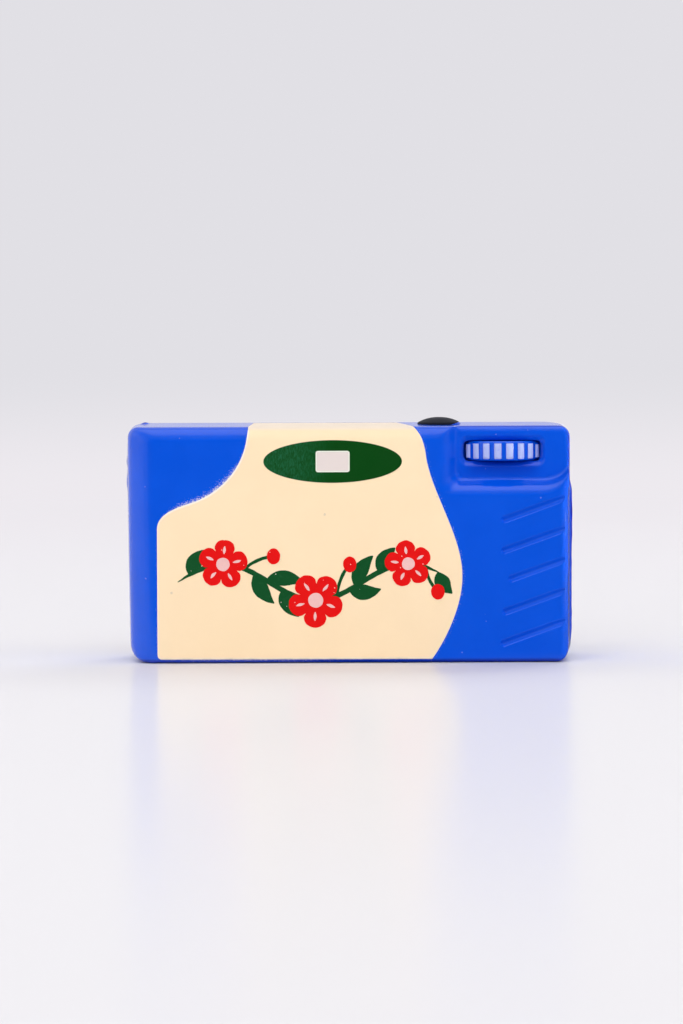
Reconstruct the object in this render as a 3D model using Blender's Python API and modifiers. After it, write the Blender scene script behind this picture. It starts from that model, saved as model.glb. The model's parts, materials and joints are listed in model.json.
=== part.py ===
"""Camera-shaped squeeze toy: moulded foam, coats of paint, a thumb wheel and a shutter button.

Units are metres with +Z up. The back of the toy camera faces -Y and its lens faces +Y.
The origin lies at the centre of the base.
"""

import math

import bmesh
import bpy

MM = 0.001

# Clearances
FOAM_GAP = 0.3 * MM  # between neighbouring pieces of foam
SEAT_GAP = 0.05 * MM  # between a coat of paint and what it lies on
OVERCUT = 2.0 * MM  # how far a cutter reaches past the surface that it opens

# Foam body
BODY_WIDTH = 114.0 * MM  # at the mould's parting line
BODY_HEIGHT = 60.4 * MM
BODY_DEPTH = 34.0 * MM  # back face to front face, without the lens
UPPER_RIGHT_RADIUS = 2.8 * MM  # corners of the outline, seen from the back
UPPER_LEFT_RADIUS = 2.8 * MM
LOWER_LEFT_RADIUS = 4.5 * MM
LOWER_RIGHT_RADIUS = 3.2 * MM
FACE_CORNER_RADIUS = 1.2 * MM  # the same corners where the rounded edge meets the flat face
LEFT_EDGE_RADIUS = 5.5 * MM
RIGHT_EDGE_RADIUS = 2.6 * MM
TOP_EDGE_RADIUS = 3.0 * MM
BASE_EDGE_RADIUS = 2.2 * MM
SIDE_DRAFT = 0.05  # taper of the sides, away from the parting line
TOP_DRAFT = 0.03
PARTING_DEPTH = 20.5 * MM  # back face to the mould's parting line
FRONT_SLAB_DEPTH = 4.5 * MM  # the moulded front, which a squeeze pushes in

# Paint
COAT_THICKNESS = 0.3 * MM

# Sunken deck around the thumb wheel, measured from the right and top edges
DECK_WIDTH = 31.0 * MM
DECK_HEIGHT = 14.5 * MM
DECK_DEPTH = 3.6 * MM
DECK_RAMP = 2.3 * MM  # run of the sloping wall below the deck
DECK_WALL = 1.2 * MM  # run of the sloping wall beside the deck
DECK_CORNER_RADIUS = 2.6 * MM  # lower left
DECK_SWEEP_RADIUS = 8.0 * MM  # lower right, where the ramp sweeps up to the side

# Thumb wheel, half sunk in the deck
WHEEL_RADIUS = 10.4 * MM  # over the painted ribs
WHEEL_HEIGHT = 5.0 * MM
WHEEL_INSET = 0.4 * MM  # the ribs stay this far inside the back face
WHEEL_FROM_RIGHT = 17.95 * MM
WHEEL_FROM_TOP = 6.85 * MM
WHEEL_ROOT_DEPTH = 1.5 * MM  # foam left beyond the wheel's axis
WHEEL_ROLL = math.radians(8.0)  # how far the foam lets the wheel roll either way
RIB_COUNT = 8
RIB_PITCH = math.radians(17.0)
RIB_WIDTH = 1.8 * MM
RIB_RELIEF = 0.6 * MM  # depth of the notches between the ribs
STRIPE_HEIGHT = 3.7 * MM
STRIPE_CORNER_RADIUS = 0.5 * MM
POCKET_MARGIN = 0.65 * MM  # room around the wheel in its pocket
POCKET_DEPTH = 2.4 * MM
POCKET_CORNER_RADIUS = 1.5 * MM

# Grip grooves, spread between the base and the deck
GROOVE_COUNT = 5
GROOVE_LENGTH = 17.0 * MM
GROOVE_WIDTH = 1.9 * MM
GROOVE_DEPTH = 0.9 * MM
GROOVE_ANGLE = math.radians(19.8)
GROOVE_FROM_RIGHT = 10.0 * MM  # middle of each groove
GROOVE_FROM_BASE = 7.9 * MM  # middle of the lowest groove
GROOVE_FROM_DECK = 4.3 * MM  # middle of the highest groove, below the deck's ramp

# Shutter button
BUTTON_RADIUS = 5.5 * MM  # over the paint
BUTTON_RIM = 0.6 * MM  # straight side above the body
BUTTON_DOME = 0.8 * MM
BUTTON_ROOT = 2.0 * MM  # foam below the top of the body
BUTTON_TRAVEL = 1.5 * MM
BUTTON_FROM_RIGHT = 33.9 * MM
BUTTON_WALL = 1.0 * MM  # foam between the button's well and the parting line

# Cream panels: points of the curved sides, as (from the body's side, from its top or base)
PANEL_FROM_LEFT = 8.2 * MM
PANEL_FROM_BASE = 0.95 * MM
PANEL_CORNER_RADIUS = 1.2 * MM
PANEL_SHOULDER_FROM_TOP = 26.5 * MM
PANEL_SHOULDER_REACH = 4.3 * MM
PANEL_BROW = (18.0 * MM, 19.3 * MM)
PANEL_BROW_IN = (13.3 * MM, 20.9 * MM)
PANEL_BROW_OUT = (25.5 * MM, 16.4 * MM)
PANEL_TOP_FROM_LEFT = 31.3 * MM
PANEL_TOP_REACH = 9.5 * MM
PANEL_TOP_FROM_RIGHT = 40.8 * MM
PANEL_TOP_IN = (38.3 * MM, 3.2 * MM)
PANEL_NECK = (37.2 * MM, 8.4 * MM)
PANEL_NECK_IN = (37.45 * MM, 6.0 * MM)
PANEL_NECK_OUT = (35.4 * MM, 17.9 * MM)
PANEL_BELLY = (27.9 * MM, 21.9 * MM)
PANEL_BELLY_IN = (27.8 * MM, 31.9 * MM)
PANEL_BELLY_OUT = (27.9 * MM, 14.4 * MM)
PANEL_FOOT_FROM_RIGHT = 35.6 * MM
PANEL_FOOT_IN = (32.0 * MM, 5.9 * MM)
BACK_PANEL_WRAP = 19.0 * MM  # how far the cream runs over the top, from the back face
FRONT_PANEL_WRAP = 3.9 * MM

# Viewfinder
OVAL_LENGTH = 35.1 * MM
OVAL_HEIGHT = 10.8 * MM
VIEWFINDER_X = -4.1 * MM
VIEWFINDER_FROM_TOP = 9.3 * MM
WINDOW_WIDTH = 8.6 * MM
WINDOW_HEIGHT = 5.4 * MM
WINDOW_CORNER_RADIUS = 0.6 * MM

# Front
LENS_RADIUS = 13.0 * MM
LENS_HEIGHT = 3.2 * MM
LENS_WALL = 3.4 * MM
LENS_FLOOR = 1.0 * MM  # floor of the barrel, under the glass
LENS_LIP_RADIUS = 1.0 * MM
LENS_FROM_BASE = 24.0 * MM
GLASS_RIM = 0.5 * MM
GLASS_DOME = 1.1 * MM
FLASH_WIDTH = 16.0 * MM
FLASH_HEIGHT = 9.5 * MM
FLASH_THICKNESS = 0.9 * MM
FLASH_CORNER_RADIUS = 1.5 * MM
FLASH_FROM_LEFT = 15.5 * MM
FLASH_FROM_TOP = 10.0 * MM

# Facets
EDGE_STEPS = 6
CORNER_STEPS = 6
CURVE_STEPS = 10
ROUND_STEPS = 48
GROOVE_STEPS = 12
DOME_STEPS = 6

# Places that follow from the sizes
BACK_PROUD = 2 * (SEAT_GAP + COAT_THICKNESS)
FRONT_PROUD = 2 * SEAT_GAP + COAT_THICKNESS + LENS_HEIGHT
BACK_Y = (BACK_PROUD - FRONT_PROUD - BODY_DEPTH) / 2
FRONT_Y = BACK_Y + BODY_DEPTH
PARTING_Y = BACK_Y + PARTING_DEPTH
FRONT_SPAN = BODY_DEPTH - PARTING_DEPTH
LEFT_X = -BODY_WIDTH / 2
RIGHT_X = BODY_WIDTH / 2
BACK_PRINT_Y = BACK_Y - BACK_PROUD + COAT_THICKNESS / 2
FRONT_PRINT_Y = FRONT_Y + FRONT_PROUD - LENS_HEIGHT
DECK_X = RIGHT_X - DECK_WIDTH
DECK_Z = BODY_HEIGHT - DECK_HEIGHT
DECK_Y = BACK_Y + DECK_DEPTH
WHEEL_X = RIGHT_X - WHEEL_FROM_RIGHT
WHEEL_Y = BACK_Y + WHEEL_INSET + WHEEL_RADIUS
WHEEL_Z = BODY_HEIGHT - WHEEL_FROM_TOP
RIB_TOP_RADIUS = WHEEL_RADIUS - COAT_THICKNESS - SEAT_GAP
VIEWFINDER_Z = BODY_HEIGHT - VIEWFINDER_FROM_TOP
WELL_RADIUS = BUTTON_RADIUS + FOAM_GAP
BUTTON_X = RIGHT_X - BUTTON_FROM_RIGHT
BUTTON_Y = PARTING_Y - BUTTON_WALL - WELL_RADIUS

BLUE = (0.0, 0.09, 0.72)
CREAM = (0.98, 0.77, 0.50)
GREEN = (0.0, 0.06, 0.012)
PALE = (0.82, 0.71, 0.69)
WHITE = (0.80, 0.80, 0.84)
BLACK = (0.016, 0.015, 0.018)


def clear_scene():
    for obj in list(bpy.data.objects):
        bpy.data.objects.remove(obj)


def new_collection(name):
    collection = bpy.data.collections.new(name)
    bpy.context.scene.collection.children.link(collection)
    return collection


def paint(name, colour, roughness):
    material = bpy.data.materials.new(name)
    material.use_nodes = True
    shader = material.node_tree.nodes["Principled BSDF"]
    shader.inputs["Base Color"].default_value = (*colour, 1.0)
    shader.inputs["Roughness"].default_value = roughness
    shader.inputs["Metallic"].default_value = 0.0
    return material


clear_scene()
TOY = new_collection("camera_squeeze_toy")
CUTTERS = new_collection("cutters")
BLUE_PAINT = paint("blue_foam_skin", BLUE, 0.5)
CREAM_PAINT = paint("cream_paint", CREAM, 0.5)
GREEN_PAINT = paint("green_print", GREEN, 0.35)
PALE_PAINT = paint("window_print", PALE, 0.45)
WHITE_PAINT = paint("white_paint", WHITE, 0.5)
BLACK_PAINT = paint("black_paint", BLACK, 0.4)


def add_piece(name, data, material):
    """Puts a mesh or a curve into the scene as one piece of the toy."""
    data.materials.append(material)
    piece = bpy.data.objects.new(name, data)
    TOY.objects.link(piece)
    return piece


def add_cutter(name, mesh):
    cutter = bpy.data.objects.new(name, mesh)
    cutter.hide_render = True
    cutter.display_type = "WIRE"
    CUTTERS.objects.link(cutter)
    return cutter


def add_empty(name, location):
    empty = bpy.data.objects.new(name, None)
    empty.location = location
    TOY.objects.link(empty)
    return empty


def mesh_from(name, built):
    """A mesh made from a bmesh, with its faces turned outwards and its round sides shaded smooth."""
    bmesh.ops.recalc_face_normals(built, faces=built.faces)
    mesh = bpy.data.meshes.new(name)
    built.to_mesh(mesh)
    built.free()
    mesh.shade_smooth()
    mesh.set_sharp_from_angle(angle=math.radians(35))
    return mesh


def boolean(piece, other, operation="DIFFERENCE"):
    modifier = piece.modifiers.new(other.name, "BOOLEAN")
    modifier.operation = operation
    modifier.object = other


def arc(centre, radius, start, end, steps):
    """Points on part of an ellipse. Centre and radius are given along its two axes."""
    angles = [start + (end - start) * i / steps for i in range(steps + 1)]
    return [(centre[0] + radius[0] * math.cos(a), centre[1] + radius[1] * math.sin(a)) for a in angles]


def bezier(*controls):
    """Points on a cubic curve from its first control point to its last, without that last one."""
    points = []
    for i in range(CURVE_STEPS):
        t = i / CURVE_STEPS
        weights = ((1 - t) ** 3, 3 * t * (1 - t) ** 2, 3 * t**2 * (1 - t), t**3)
        points.append(tuple(sum(w * c[axis] for w, c in zip(weights, controls)) for axis in (0, 1)))
    return points


def rounded_box(low, high, corners):
    """A rounded rectangle. Each corner has its two radii, from the upper right one anticlockwise."""
    sides = ((high[0], high[1]), (low[0], high[1]), (low[0], low[1]), (high[0], low[1]))
    inwards = ((-1, -1), (1, -1), (1, 1), (-1, 1))
    points = []
    for quarter, (side, inward, radius) in enumerate(zip(sides, inwards, corners)):
        centre = (side[0] + inward[0] * radius[0], side[1] + inward[1] * radius[1])
        start = quarter * math.pi / 2
        points += arc(centre, radius, start, start + math.pi / 2, CORNER_STEPS)
    return points


def even_box(low, high, radius):
    return rounded_box(low, high, [(radius, radius)] * 4)


def centred_box(width, height, radius):
    return even_box((-width / 2, -height / 2), (width / 2, height / 2), radius)


def loft(name, outlines, depths):
    """A closed mesh skinned over outlines with as many points each, one at each depth along Y."""
    built = bmesh.new()
    loops = [[built.verts.new((x, y, z)) for x, z in outline] for outline, y in zip(outlines, depths)]
    for first, second in zip(loops, loops[1:]):
        for i in range(len(first)):
            built.faces.new((first[i - 1], first[i], second[i], second[i - 1]))
    built.faces.new(loops[0])
    built.faces.new(loops[-1])
    return mesh_from(name, built)


def cylinder(name, radius, length, steps):
    built = bmesh.new()
    bmesh.ops.create_cone(
        built, cap_ends=True, segments=steps, radius1=radius, radius2=radius, depth=length
    )
    return mesh_from(name, built)


def turned(name, profile, material):
    """A solid turned about its own Z. Its profile runs from its top, down its outer side, to its foot."""
    built = bmesh.new()
    points = [built.verts.new((radius, 0.0, height)) for radius, height in profile]
    for upper, lower in zip(points, points[1:]):
        built.edges.new((upper, lower))
    mesh = bpy.data.meshes.new(name)
    built.to_mesh(mesh)
    built.free()
    piece = add_piece(name, mesh, material)
    screw = piece.modifiers.new("turn", "SCREW")
    screw.steps = ROUND_STEPS
    screw.render_steps = ROUND_STEPS
    screw.use_merge_vertices = True
    screw.merge_threshold = 1e-6
    return piece


def plate(name, outlines, thickness, material):
    """A flat piece of one thickness, cut to its first outline, with any further outlines as holes."""
    curve = bpy.data.curves.new(name, "CURVE")
    curve.dimensions = "2D"
    curve.fill_mode = "BOTH"
    curve.extrude = thickness / 2
    for outline in outlines:
        spline = curve.splines.new("POLY")
        spline.points.add(len(outline) - 1)
        spline.use_cyclic_u = True
        for point, (u, v) in zip(spline.points, outline):
            point.co = (u, v, 0.0, 1.0)
    return add_piece(name, curve, material)


def stand_plate(piece, x, y, z, turn=0.0):
    """Stands a plate upright, facing the back, with its middle at a place."""
    piece.rotation_euler = (math.pi / 2, 0.0, turn)
    piece.location = (x, y, z)


def dome(radius, height, rim):
    """The profile of a low dome, from its top to the foot of its straight rim."""
    bulge = arc((0.0, rim), (radius, height), math.pi / 2, 0.0, DOME_STEPS)
    return [(0.0, rim + height)] + bulge[1:] + [(radius, 0.0)]


def edge_inset(radius, depth):
    """How far a rounded edge draws the outline in, at a depth below the face."""
    if depth >= radius:
        return 0.0
    return radius - math.sqrt(radius**2 - (radius - depth) ** 2)


def body_outline(depth, span, grow):
    """The body's section at a depth below a face that lies span from the parting line.

    Grow moves the whole surface outwards.
    """
    side_draft = SIDE_DRAFT * (span - depth)
    top_draft = TOP_DRAFT * (span - depth)
    left = edge_inset(LEFT_EDGE_RADIUS + grow, depth + grow)
    right = edge_inset(RIGHT_EDGE_RADIUS + grow, depth + grow)
    top = edge_inset(TOP_EDGE_RADIUS + grow, depth + grow)
    base = edge_inset(BASE_EDGE_RADIUS + grow, depth + grow)
    low = (LEFT_X - grow + side_draft + left, base - grow)
    high = (RIGHT_X + grow - side_draft - right, BODY_HEIGHT + grow - top_draft - top)
    radii = (UPPER_RIGHT_RADIUS, UPPER_LEFT_RADIUS, LOWER_LEFT_RADIUS, LOWER_RIGHT_RADIUS)
    meets = ((right, top), (left, top), (left, base), (right, base))
    corners = []
    for radius, insets in zip(radii, meets):
        corners.append([max(radius + grow - inset, FACE_CORNER_RADIUS) for inset in insets])
    return rounded_box(low, high, corners)


def edge_depths(deepest, grow):
    """Depths below a face where the body has a section: closely over the rounded edge, then the last."""
    reach = max(LEFT_EDGE_RADIUS, RIGHT_EDGE_RADIUS, TOP_EDGE_RADIUS, BASE_EDGE_RADIUS) + grow
    over = [reach * (1 - math.cos(math.pi / 2 * i / EDGE_STEPS)) - grow for i in range(EDGE_STEPS + 1)]
    return [depth for depth in over if depth < deepest] + [deepest]


def back_mesh(name, deepest, grow=0.0):
    depths = edge_depths(deepest, grow)
    return loft(name, [body_outline(d, PARTING_DEPTH, grow) for d in depths], [BACK_Y + d for d in depths])


def front_mesh(name, deepest, grow=0.0):
    depths = edge_depths(deepest, grow)
    return loft(name, [body_outline(d, FRONT_SPAN, grow) for d in depths], [FRONT_Y - d for d in depths])


def deck_cutter():
    """The sunken deck, open to the right and the top, with sloping walls on its other two sides."""
    rise = 1 + OVERCUT / DECK_DEPTH
    floor_low = (DECK_X, DECK_Z)
    mouth_low = (DECK_X - DECK_WALL * rise, DECK_Z - DECK_RAMP * rise)
    high = (RIGHT_X + OVERCUT, BODY_HEIGHT + OVERCUT)
    outlines = []
    for low, radius in ((mouth_low, 2 * DECK_CORNER_RADIUS), (floor_low, DECK_CORNER_RADIUS)):
        outside = (OVERCUT / 2, OVERCUT / 2)
        sweep = (DECK_SWEEP_RADIUS, DECK_SWEEP_RADIUS)
        outlines.append(rounded_box(low, high, (outside, outside, (radius, radius), sweep)))
    return add_cutter("deck", loft("deck", outlines, (BACK_Y - OVERCUT, DECK_Y)))


def wheel_cutters():
    """The pocket around the wheel and, below it, the round space that the wheel rolls in."""
    space_radius = WHEEL_RADIUS + FOAM_GAP
    floor_y = DECK_Y + POCKET_DEPTH
    half_width = math.sqrt(space_radius**2 - (WHEEL_Y - floor_y) ** 2) + POCKET_MARGIN
    half_height = WHEEL_HEIGHT / 2 + POCKET_MARGIN
    low = (WHEEL_X - half_width, WHEEL_Z - half_height)
    high = (WHEEL_X + half_width, WHEEL_Z + half_height)
    outline = even_box(low, high, POCKET_CORNER_RADIUS)
    ends = (DECK_Y - OVERCUT, floor_y)
    pocket = add_cutter("wheel_pocket", loft("wheel_pocket", [outline, outline], ends))

    built = bmesh.new()
    space_height = WHEEL_HEIGHT + 2 * FOAM_GAP
    bmesh.ops.create_cone(
        built,
        cap_ends=True,
        segments=ROUND_STEPS,
        radius1=space_radius,
        radius2=space_radius,
        depth=space_height,
    )
    far_side = WHEEL_ROOT_DEPTH + WHEEL_RADIUS * math.sin(WHEEL_ROLL) + FOAM_GAP
    everything = built.verts[:] + built.edges[:] + built.faces[:]
    cut = bmesh.ops.bisect_plane(
        built, geom=everything, plane_co=(0.0, far_side, 0.0), plane_no=(0.0, 1.0, 0.0), clear_outer=True
    )
    bmesh.ops.edgenet_fill(built, edges=[e for e in cut["geom_cut"] if isinstance(e, bmesh.types.BMEdge)])
    space = add_cutter("wheel_space", mesh_from("wheel_space", built))
    space.location = (WHEEL_X, WHEEL_Y, WHEEL_Z)
    return [pocket, space]


def groove_cutters():
    """Slanted bars that sink the grip grooves into the back face."""
    highest = DECK_Z - DECK_RAMP - GROOVE_FROM_DECK
    pitch = (highest - GROOVE_FROM_BASE) / (GROOVE_COUNT - 1)
    cutters = []
    for i in range(GROOVE_COUNT):
        name = f"groove_{i + 1}"
        bar = add_cutter(name, cylinder(name, GROOVE_WIDTH / 2, GROOVE_LENGTH, GROOVE_STEPS))
        bar.location = (RIGHT_X - GROOVE_FROM_RIGHT, BACK_Y, GROOVE_FROM_BASE + i * pitch)
        bar.rotation_euler = (0.0, math.pi / 2 - GROOVE_ANGLE, 0.0)
        bar.scale = (1.0, 2 * GROOVE_DEPTH / GROOVE_WIDTH, 1.0)
        cutters.append(bar)
    return cutters


def button_well():
    depth = BUTTON_ROOT + BUTTON_TRAVEL + FOAM_GAP
    well = add_cutter("button_well", cylinder("button_well", WELL_RADIUS, depth + OVERCUT, ROUND_STEPS))
    well.location = (BUTTON_X, BUTTON_Y, BODY_HEIGHT + (OVERCUT - depth) / 2)
    return well


def make_foam():
    """The casting: its moulded back, the springy middle that a squeeze flattens, and its moulded front."""
    back = add_piece("back_foam", back_mesh("back_foam", PARTING_DEPTH), BLUE_PAINT)
    for cutter in (deck_cutter(), *wheel_cutters(), *groove_cutters(), button_well()):
        boolean(back, cutter)
    ends = (PARTING_DEPTH + FOAM_GAP, BODY_DEPTH - FRONT_SLAB_DEPTH - FOAM_GAP)
    outlines = [body_outline(BODY_DEPTH - depth, FRONT_SPAN, -FOAM_GAP) for depth in ends]
    add_piece("foam_core", loft("foam_core", outlines, [BACK_Y + depth for depth in ends]), BLUE_PAINT)
    add_piece("front_foam", front_mesh("front_foam", FRONT_SLAB_DEPTH), BLUE_PAINT)


def panel_outline():
    """The outline of a cream panel, anticlockwise from the foot of its right side, seen from the back."""

    def upper_left(point):
        return (LEFT_X + point[0], BODY_HEIGHT - point[1])

    def upper_right(point):
        return (RIGHT_X - point[0], BODY_HEIGHT - point[1])

    def lower_right(point):
        return (RIGHT_X - point[0], point[1])

    foot = (RIGHT_X - PANEL_FOOT_FROM_RIGHT, PANEL_FROM_BASE)
    belly = lower_right(PANEL_BELLY)
    neck = upper_right(PANEL_NECK)
    top_right = (RIGHT_X - PANEL_TOP_FROM_RIGHT, BODY_HEIGHT)
    top_left = (LEFT_X + PANEL_TOP_FROM_LEFT, BODY_HEIGHT)
    top_left_reach = (top_left[0], BODY_HEIGHT - PANEL_TOP_REACH)
    brow = upper_left(PANEL_BROW)
    shoulder = (LEFT_X + PANEL_FROM_LEFT, BODY_HEIGHT - PANEL_SHOULDER_FROM_TOP)
    shoulder_reach = (shoulder[0], shoulder[1] + PANEL_SHOULDER_REACH)
    corner = (shoulder[0] + PANEL_CORNER_RADIUS, PANEL_FROM_BASE + PANEL_CORNER_RADIUS)
    over_top = BODY_HEIGHT + OVERCUT
    return (
        bezier(foot, lower_right(PANEL_FOOT_IN), lower_right(PANEL_BELLY_OUT), belly)
        + bezier(belly, lower_right(PANEL_BELLY_IN), upper_right(PANEL_NECK_OUT), neck)
        + bezier(neck, upper_right(PANEL_NECK_IN), upper_right(PANEL_TOP_IN), top_right)
        + [top_right, (top_right[0], over_top), (top_left[0], over_top)]
        + bezier(top_left, top_left_reach, upper_left(PANEL_BROW_OUT), brow)
        + bezier(brow, upper_left(PANEL_BROW_IN), shoulder_reach, shoulder)
        + [shoulder]
        + arc(corner, (PANEL_CORNER_RADIUS, PANEL_CORNER_RADIUS), math.pi, 1.5 * math.pi, CORNER_STEPS)
    )


def make_panel(name, body_mesh, deepest, ends):
    """A coat of cream paint that follows the body inside the panel's outline, between two places along Y."""
    panel = add_piece(name, body_mesh(name, deepest, SEAT_GAP + COAT_THICKNESS), CREAM_PAINT)
    outline = add_cutter(f"{name}_outline", loft(f"{name}_outline", [panel_outline()] * 2, ends))
    under = add_cutter(f"{name}_under", body_mesh(f"{name}_under", deepest + OVERCUT, SEAT_GAP))
    boolean(panel, outline, "INTERSECT")
    boolean(panel, under)


def make_panels():
    make_panel("cream_panel", back_mesh, PARTING_DEPTH, (BACK_Y - OVERCUT, BACK_Y + BACK_PANEL_WRAP))
    make_panel("front_panel", front_mesh, FRONT_SPAN, (FRONT_Y + OVERCUT, FRONT_Y - FRONT_PANEL_WRAP))


def make_viewfinder():
    """The green oval on the back with the window in its middle, and the plain window on the front."""
    oval_outline = arc((0.0, 0.0), (OVAL_LENGTH / 2, OVAL_HEIGHT / 2), 0.0, 2 * math.pi, ROUND_STEPS)[:-1]
    room = 2 * SEAT_GAP
    hole = centred_box(WINDOW_WIDTH + room, WINDOW_HEIGHT + room, WINDOW_CORNER_RADIUS + SEAT_GAP)
    window_outline = centred_box(WINDOW_WIDTH, WINDOW_HEIGHT, WINDOW_CORNER_RADIUS)
    oval = plate("viewfinder_oval", [oval_outline, hole], COAT_THICKNESS, GREEN_PAINT)
    stand_plate(oval, VIEWFINDER_X, BACK_PRINT_Y, VIEWFINDER_Z)
    window = plate("viewfinder_window", [window_outline], COAT_THICKNESS, PALE_PAINT)
    stand_plate(window, VIEWFINDER_X, BACK_PRINT_Y, VIEWFINDER_Z)
    front = plate("front_window", [window_outline], COAT_THICKNESS, PALE_PAINT)
    stand_plate(front, VIEWFINDER_X, FRONT_PRINT_Y + COAT_THICKNESS / 2, VIEWFINDER_Z)


def make_wheel():
    """The thumb wheel: a D-shaped lump with ribs on its round side, and a painted stripe on each rib."""
    axis = add_empty("wheel_axis", (WHEEL_X, WHEEL_Y, WHEEL_Z))
    notch_radius = RIB_TOP_RADIUS - RIB_RELIEF
    angles = [(i - (RIB_COUNT - 1) / 2) * RIB_PITCH for i in range(RIB_COUNT)]
    rib = ((notch_radius, -1), (RIB_TOP_RADIUS, -1), (RIB_TOP_RADIUS, 1), (notch_radius, 1))
    outline = []
    for angle in angles:
        for radius, side in rib:
            turn = angle + side * math.asin(RIB_WIDTH / 2 / radius)
            outline.append((radius * math.sin(turn), -radius * math.cos(turn)))
    outline += [(notch_radius, 0.0), (notch_radius, WHEEL_ROOT_DEPTH)]
    outline += [(-notch_radius, WHEEL_ROOT_DEPTH), (-notch_radius, 0.0)]
    wheel = plate("thumb_wheel", [outline], WHEEL_HEIGHT, BLUE_PAINT)
    wheel.parent = axis
    stripe_outline = centred_box(RIB_WIDTH, STRIPE_HEIGHT, STRIPE_CORNER_RADIUS)
    reach = RIB_TOP_RADIUS + SEAT_GAP + COAT_THICKNESS / 2
    for i, angle in enumerate(angles):
        stripe = plate(f"wheel_stripe_{i + 1}", [stripe_outline], COAT_THICKNESS, WHITE_PAINT)
        stripe.parent = axis
        stand_plate(stripe, reach * math.sin(angle), -reach * math.cos(angle), 0.0, angle)


def make_button():
    """The shutter button, a low dome of foam rooted in a well in the top, and its coat of black paint."""
    axis = add_empty("button_axis", (BUTTON_X, BUTTON_Y, BODY_HEIGHT))
    foam_radius = BUTTON_RADIUS - COAT_THICKNESS - SEAT_GAP
    rounded = dome(foam_radius, BUTTON_DOME, BUTTON_RIM)[:-1]
    root = [(foam_radius, -BUTTON_ROOT), (0.0, -BUTTON_ROOT)]
    button = turned("shutter_button", rounded + root, BLUE_PAINT)
    button.parent = axis
    under = dome(foam_radius + SEAT_GAP, BUTTON_DOME + SEAT_GAP, BUTTON_RIM)[:-1]
    over = dome(BUTTON_RADIUS, BUTTON_DOME + SEAT_GAP + COAT_THICKNESS, BUTTON_RIM)[:-1]
    cap = turned("button_cap", over + under[::-1], BLACK_PAINT)
    cap.parent = axis


def make_lens():
    """The lens barrel, a turned dish on the front, and the domed glass on its floor."""
    axis = add_empty("lens_axis", (VIEWFINDER_X, FRONT_PRINT_Y, LENS_FROM_BASE))
    axis.rotation_euler = (-math.pi / 2, 0.0, 0.0)
    bore = LENS_RADIUS - LENS_WALL
    lip_centre = (LENS_RADIUS - LENS_LIP_RADIUS, LENS_HEIGHT - LENS_LIP_RADIUS)
    profile = [(0.0, LENS_FLOOR), (bore, LENS_FLOOR), (bore, LENS_HEIGHT)]
    profile += arc(lip_centre, (LENS_LIP_RADIUS, LENS_LIP_RADIUS), math.pi / 2, 0.0, CORNER_STEPS)
    profile += [(LENS_RADIUS, 0.0), (0.0, 0.0)]
    barrel = turned("lens_barrel", profile, BLACK_PAINT)
    barrel.parent = axis
    glass = turned("lens_glass", dome(bore - FOAM_GAP, GLASS_DOME, GLASS_RIM) + [(0.0, 0.0)], BLACK_PAINT)
    glass.parent = axis
    glass.location = (0.0, 0.0, LENS_FLOOR + SEAT_GAP)


def make_flash():
    outline = centred_box(FLASH_WIDTH, FLASH_HEIGHT, FLASH_CORNER_RADIUS)
    flash = plate("flash_window", [outline], FLASH_THICKNESS, WHITE_PAINT)
    middle_y = FRONT_Y + SEAT_GAP + FLASH_THICKNESS / 2
    stand_plate(flash, LEFT_X + FLASH_FROM_LEFT, middle_y, BODY_HEIGHT - FLASH_FROM_TOP)


make_foam()
make_panels()
make_viewfinder()
make_wheel()
make_button()
make_lens()
make_flash()
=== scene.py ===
"""Looks of the camera-shaped squeeze toy: foam skin, sprayed panels, prints, wheel, button and lens.

Lengths are in metres. The back of the toy, with its viewfinder and thumb wheel, faces -Y.
"""

import contextlib
import json
import math

import bmesh
import bpy
import numpy as np
from mathutils import Matrix, Vector, noise


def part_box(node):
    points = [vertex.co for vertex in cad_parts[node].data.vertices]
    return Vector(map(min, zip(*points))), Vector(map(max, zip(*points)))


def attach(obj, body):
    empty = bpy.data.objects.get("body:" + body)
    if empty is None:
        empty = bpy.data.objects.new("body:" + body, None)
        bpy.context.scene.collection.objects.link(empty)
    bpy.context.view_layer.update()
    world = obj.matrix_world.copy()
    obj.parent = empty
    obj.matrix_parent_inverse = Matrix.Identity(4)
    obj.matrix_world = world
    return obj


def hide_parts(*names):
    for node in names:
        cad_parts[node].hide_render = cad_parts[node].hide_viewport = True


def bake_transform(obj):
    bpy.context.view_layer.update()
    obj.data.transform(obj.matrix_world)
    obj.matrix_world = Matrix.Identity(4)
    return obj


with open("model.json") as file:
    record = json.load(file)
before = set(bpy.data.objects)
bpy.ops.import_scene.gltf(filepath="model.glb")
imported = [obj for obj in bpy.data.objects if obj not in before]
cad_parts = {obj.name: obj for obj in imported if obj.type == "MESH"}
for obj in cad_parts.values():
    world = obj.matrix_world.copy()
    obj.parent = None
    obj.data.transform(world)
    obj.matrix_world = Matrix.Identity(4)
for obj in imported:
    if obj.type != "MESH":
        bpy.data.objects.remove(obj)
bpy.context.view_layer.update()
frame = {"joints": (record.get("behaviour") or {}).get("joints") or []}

MM = 0.001

# Places that the frame gives
(LEFT_X, BACK_Y, BASE_Z), (RIGHT_X, PARTING_Y, TOP_Z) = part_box("back_foam")
FRONT_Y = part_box("front_foam")[1][1]
WHEEL_LOW, WHEEL_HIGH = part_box("thumb_wheel")
BUTTON_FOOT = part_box("shutter_button")[0].z
CAP_LOW, CAP_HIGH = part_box("button_cap")
OVAL_LOW, OVAL_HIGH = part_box("viewfinder_oval")
WINDOW_LOW, WINDOW_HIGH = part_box("viewfinder_window")
FRONT_WINDOW_LOW, FRONT_WINDOW_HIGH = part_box("front_window")
LENS_LOW, LENS_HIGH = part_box("lens_barrel")
FLASH_LOW, FLASH_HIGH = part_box("flash_window")
WHEEL_AXIS = Vector(next(j["pos_m"] for j in frame["joints"] if j["name"] == "wheel_roll"))

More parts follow.
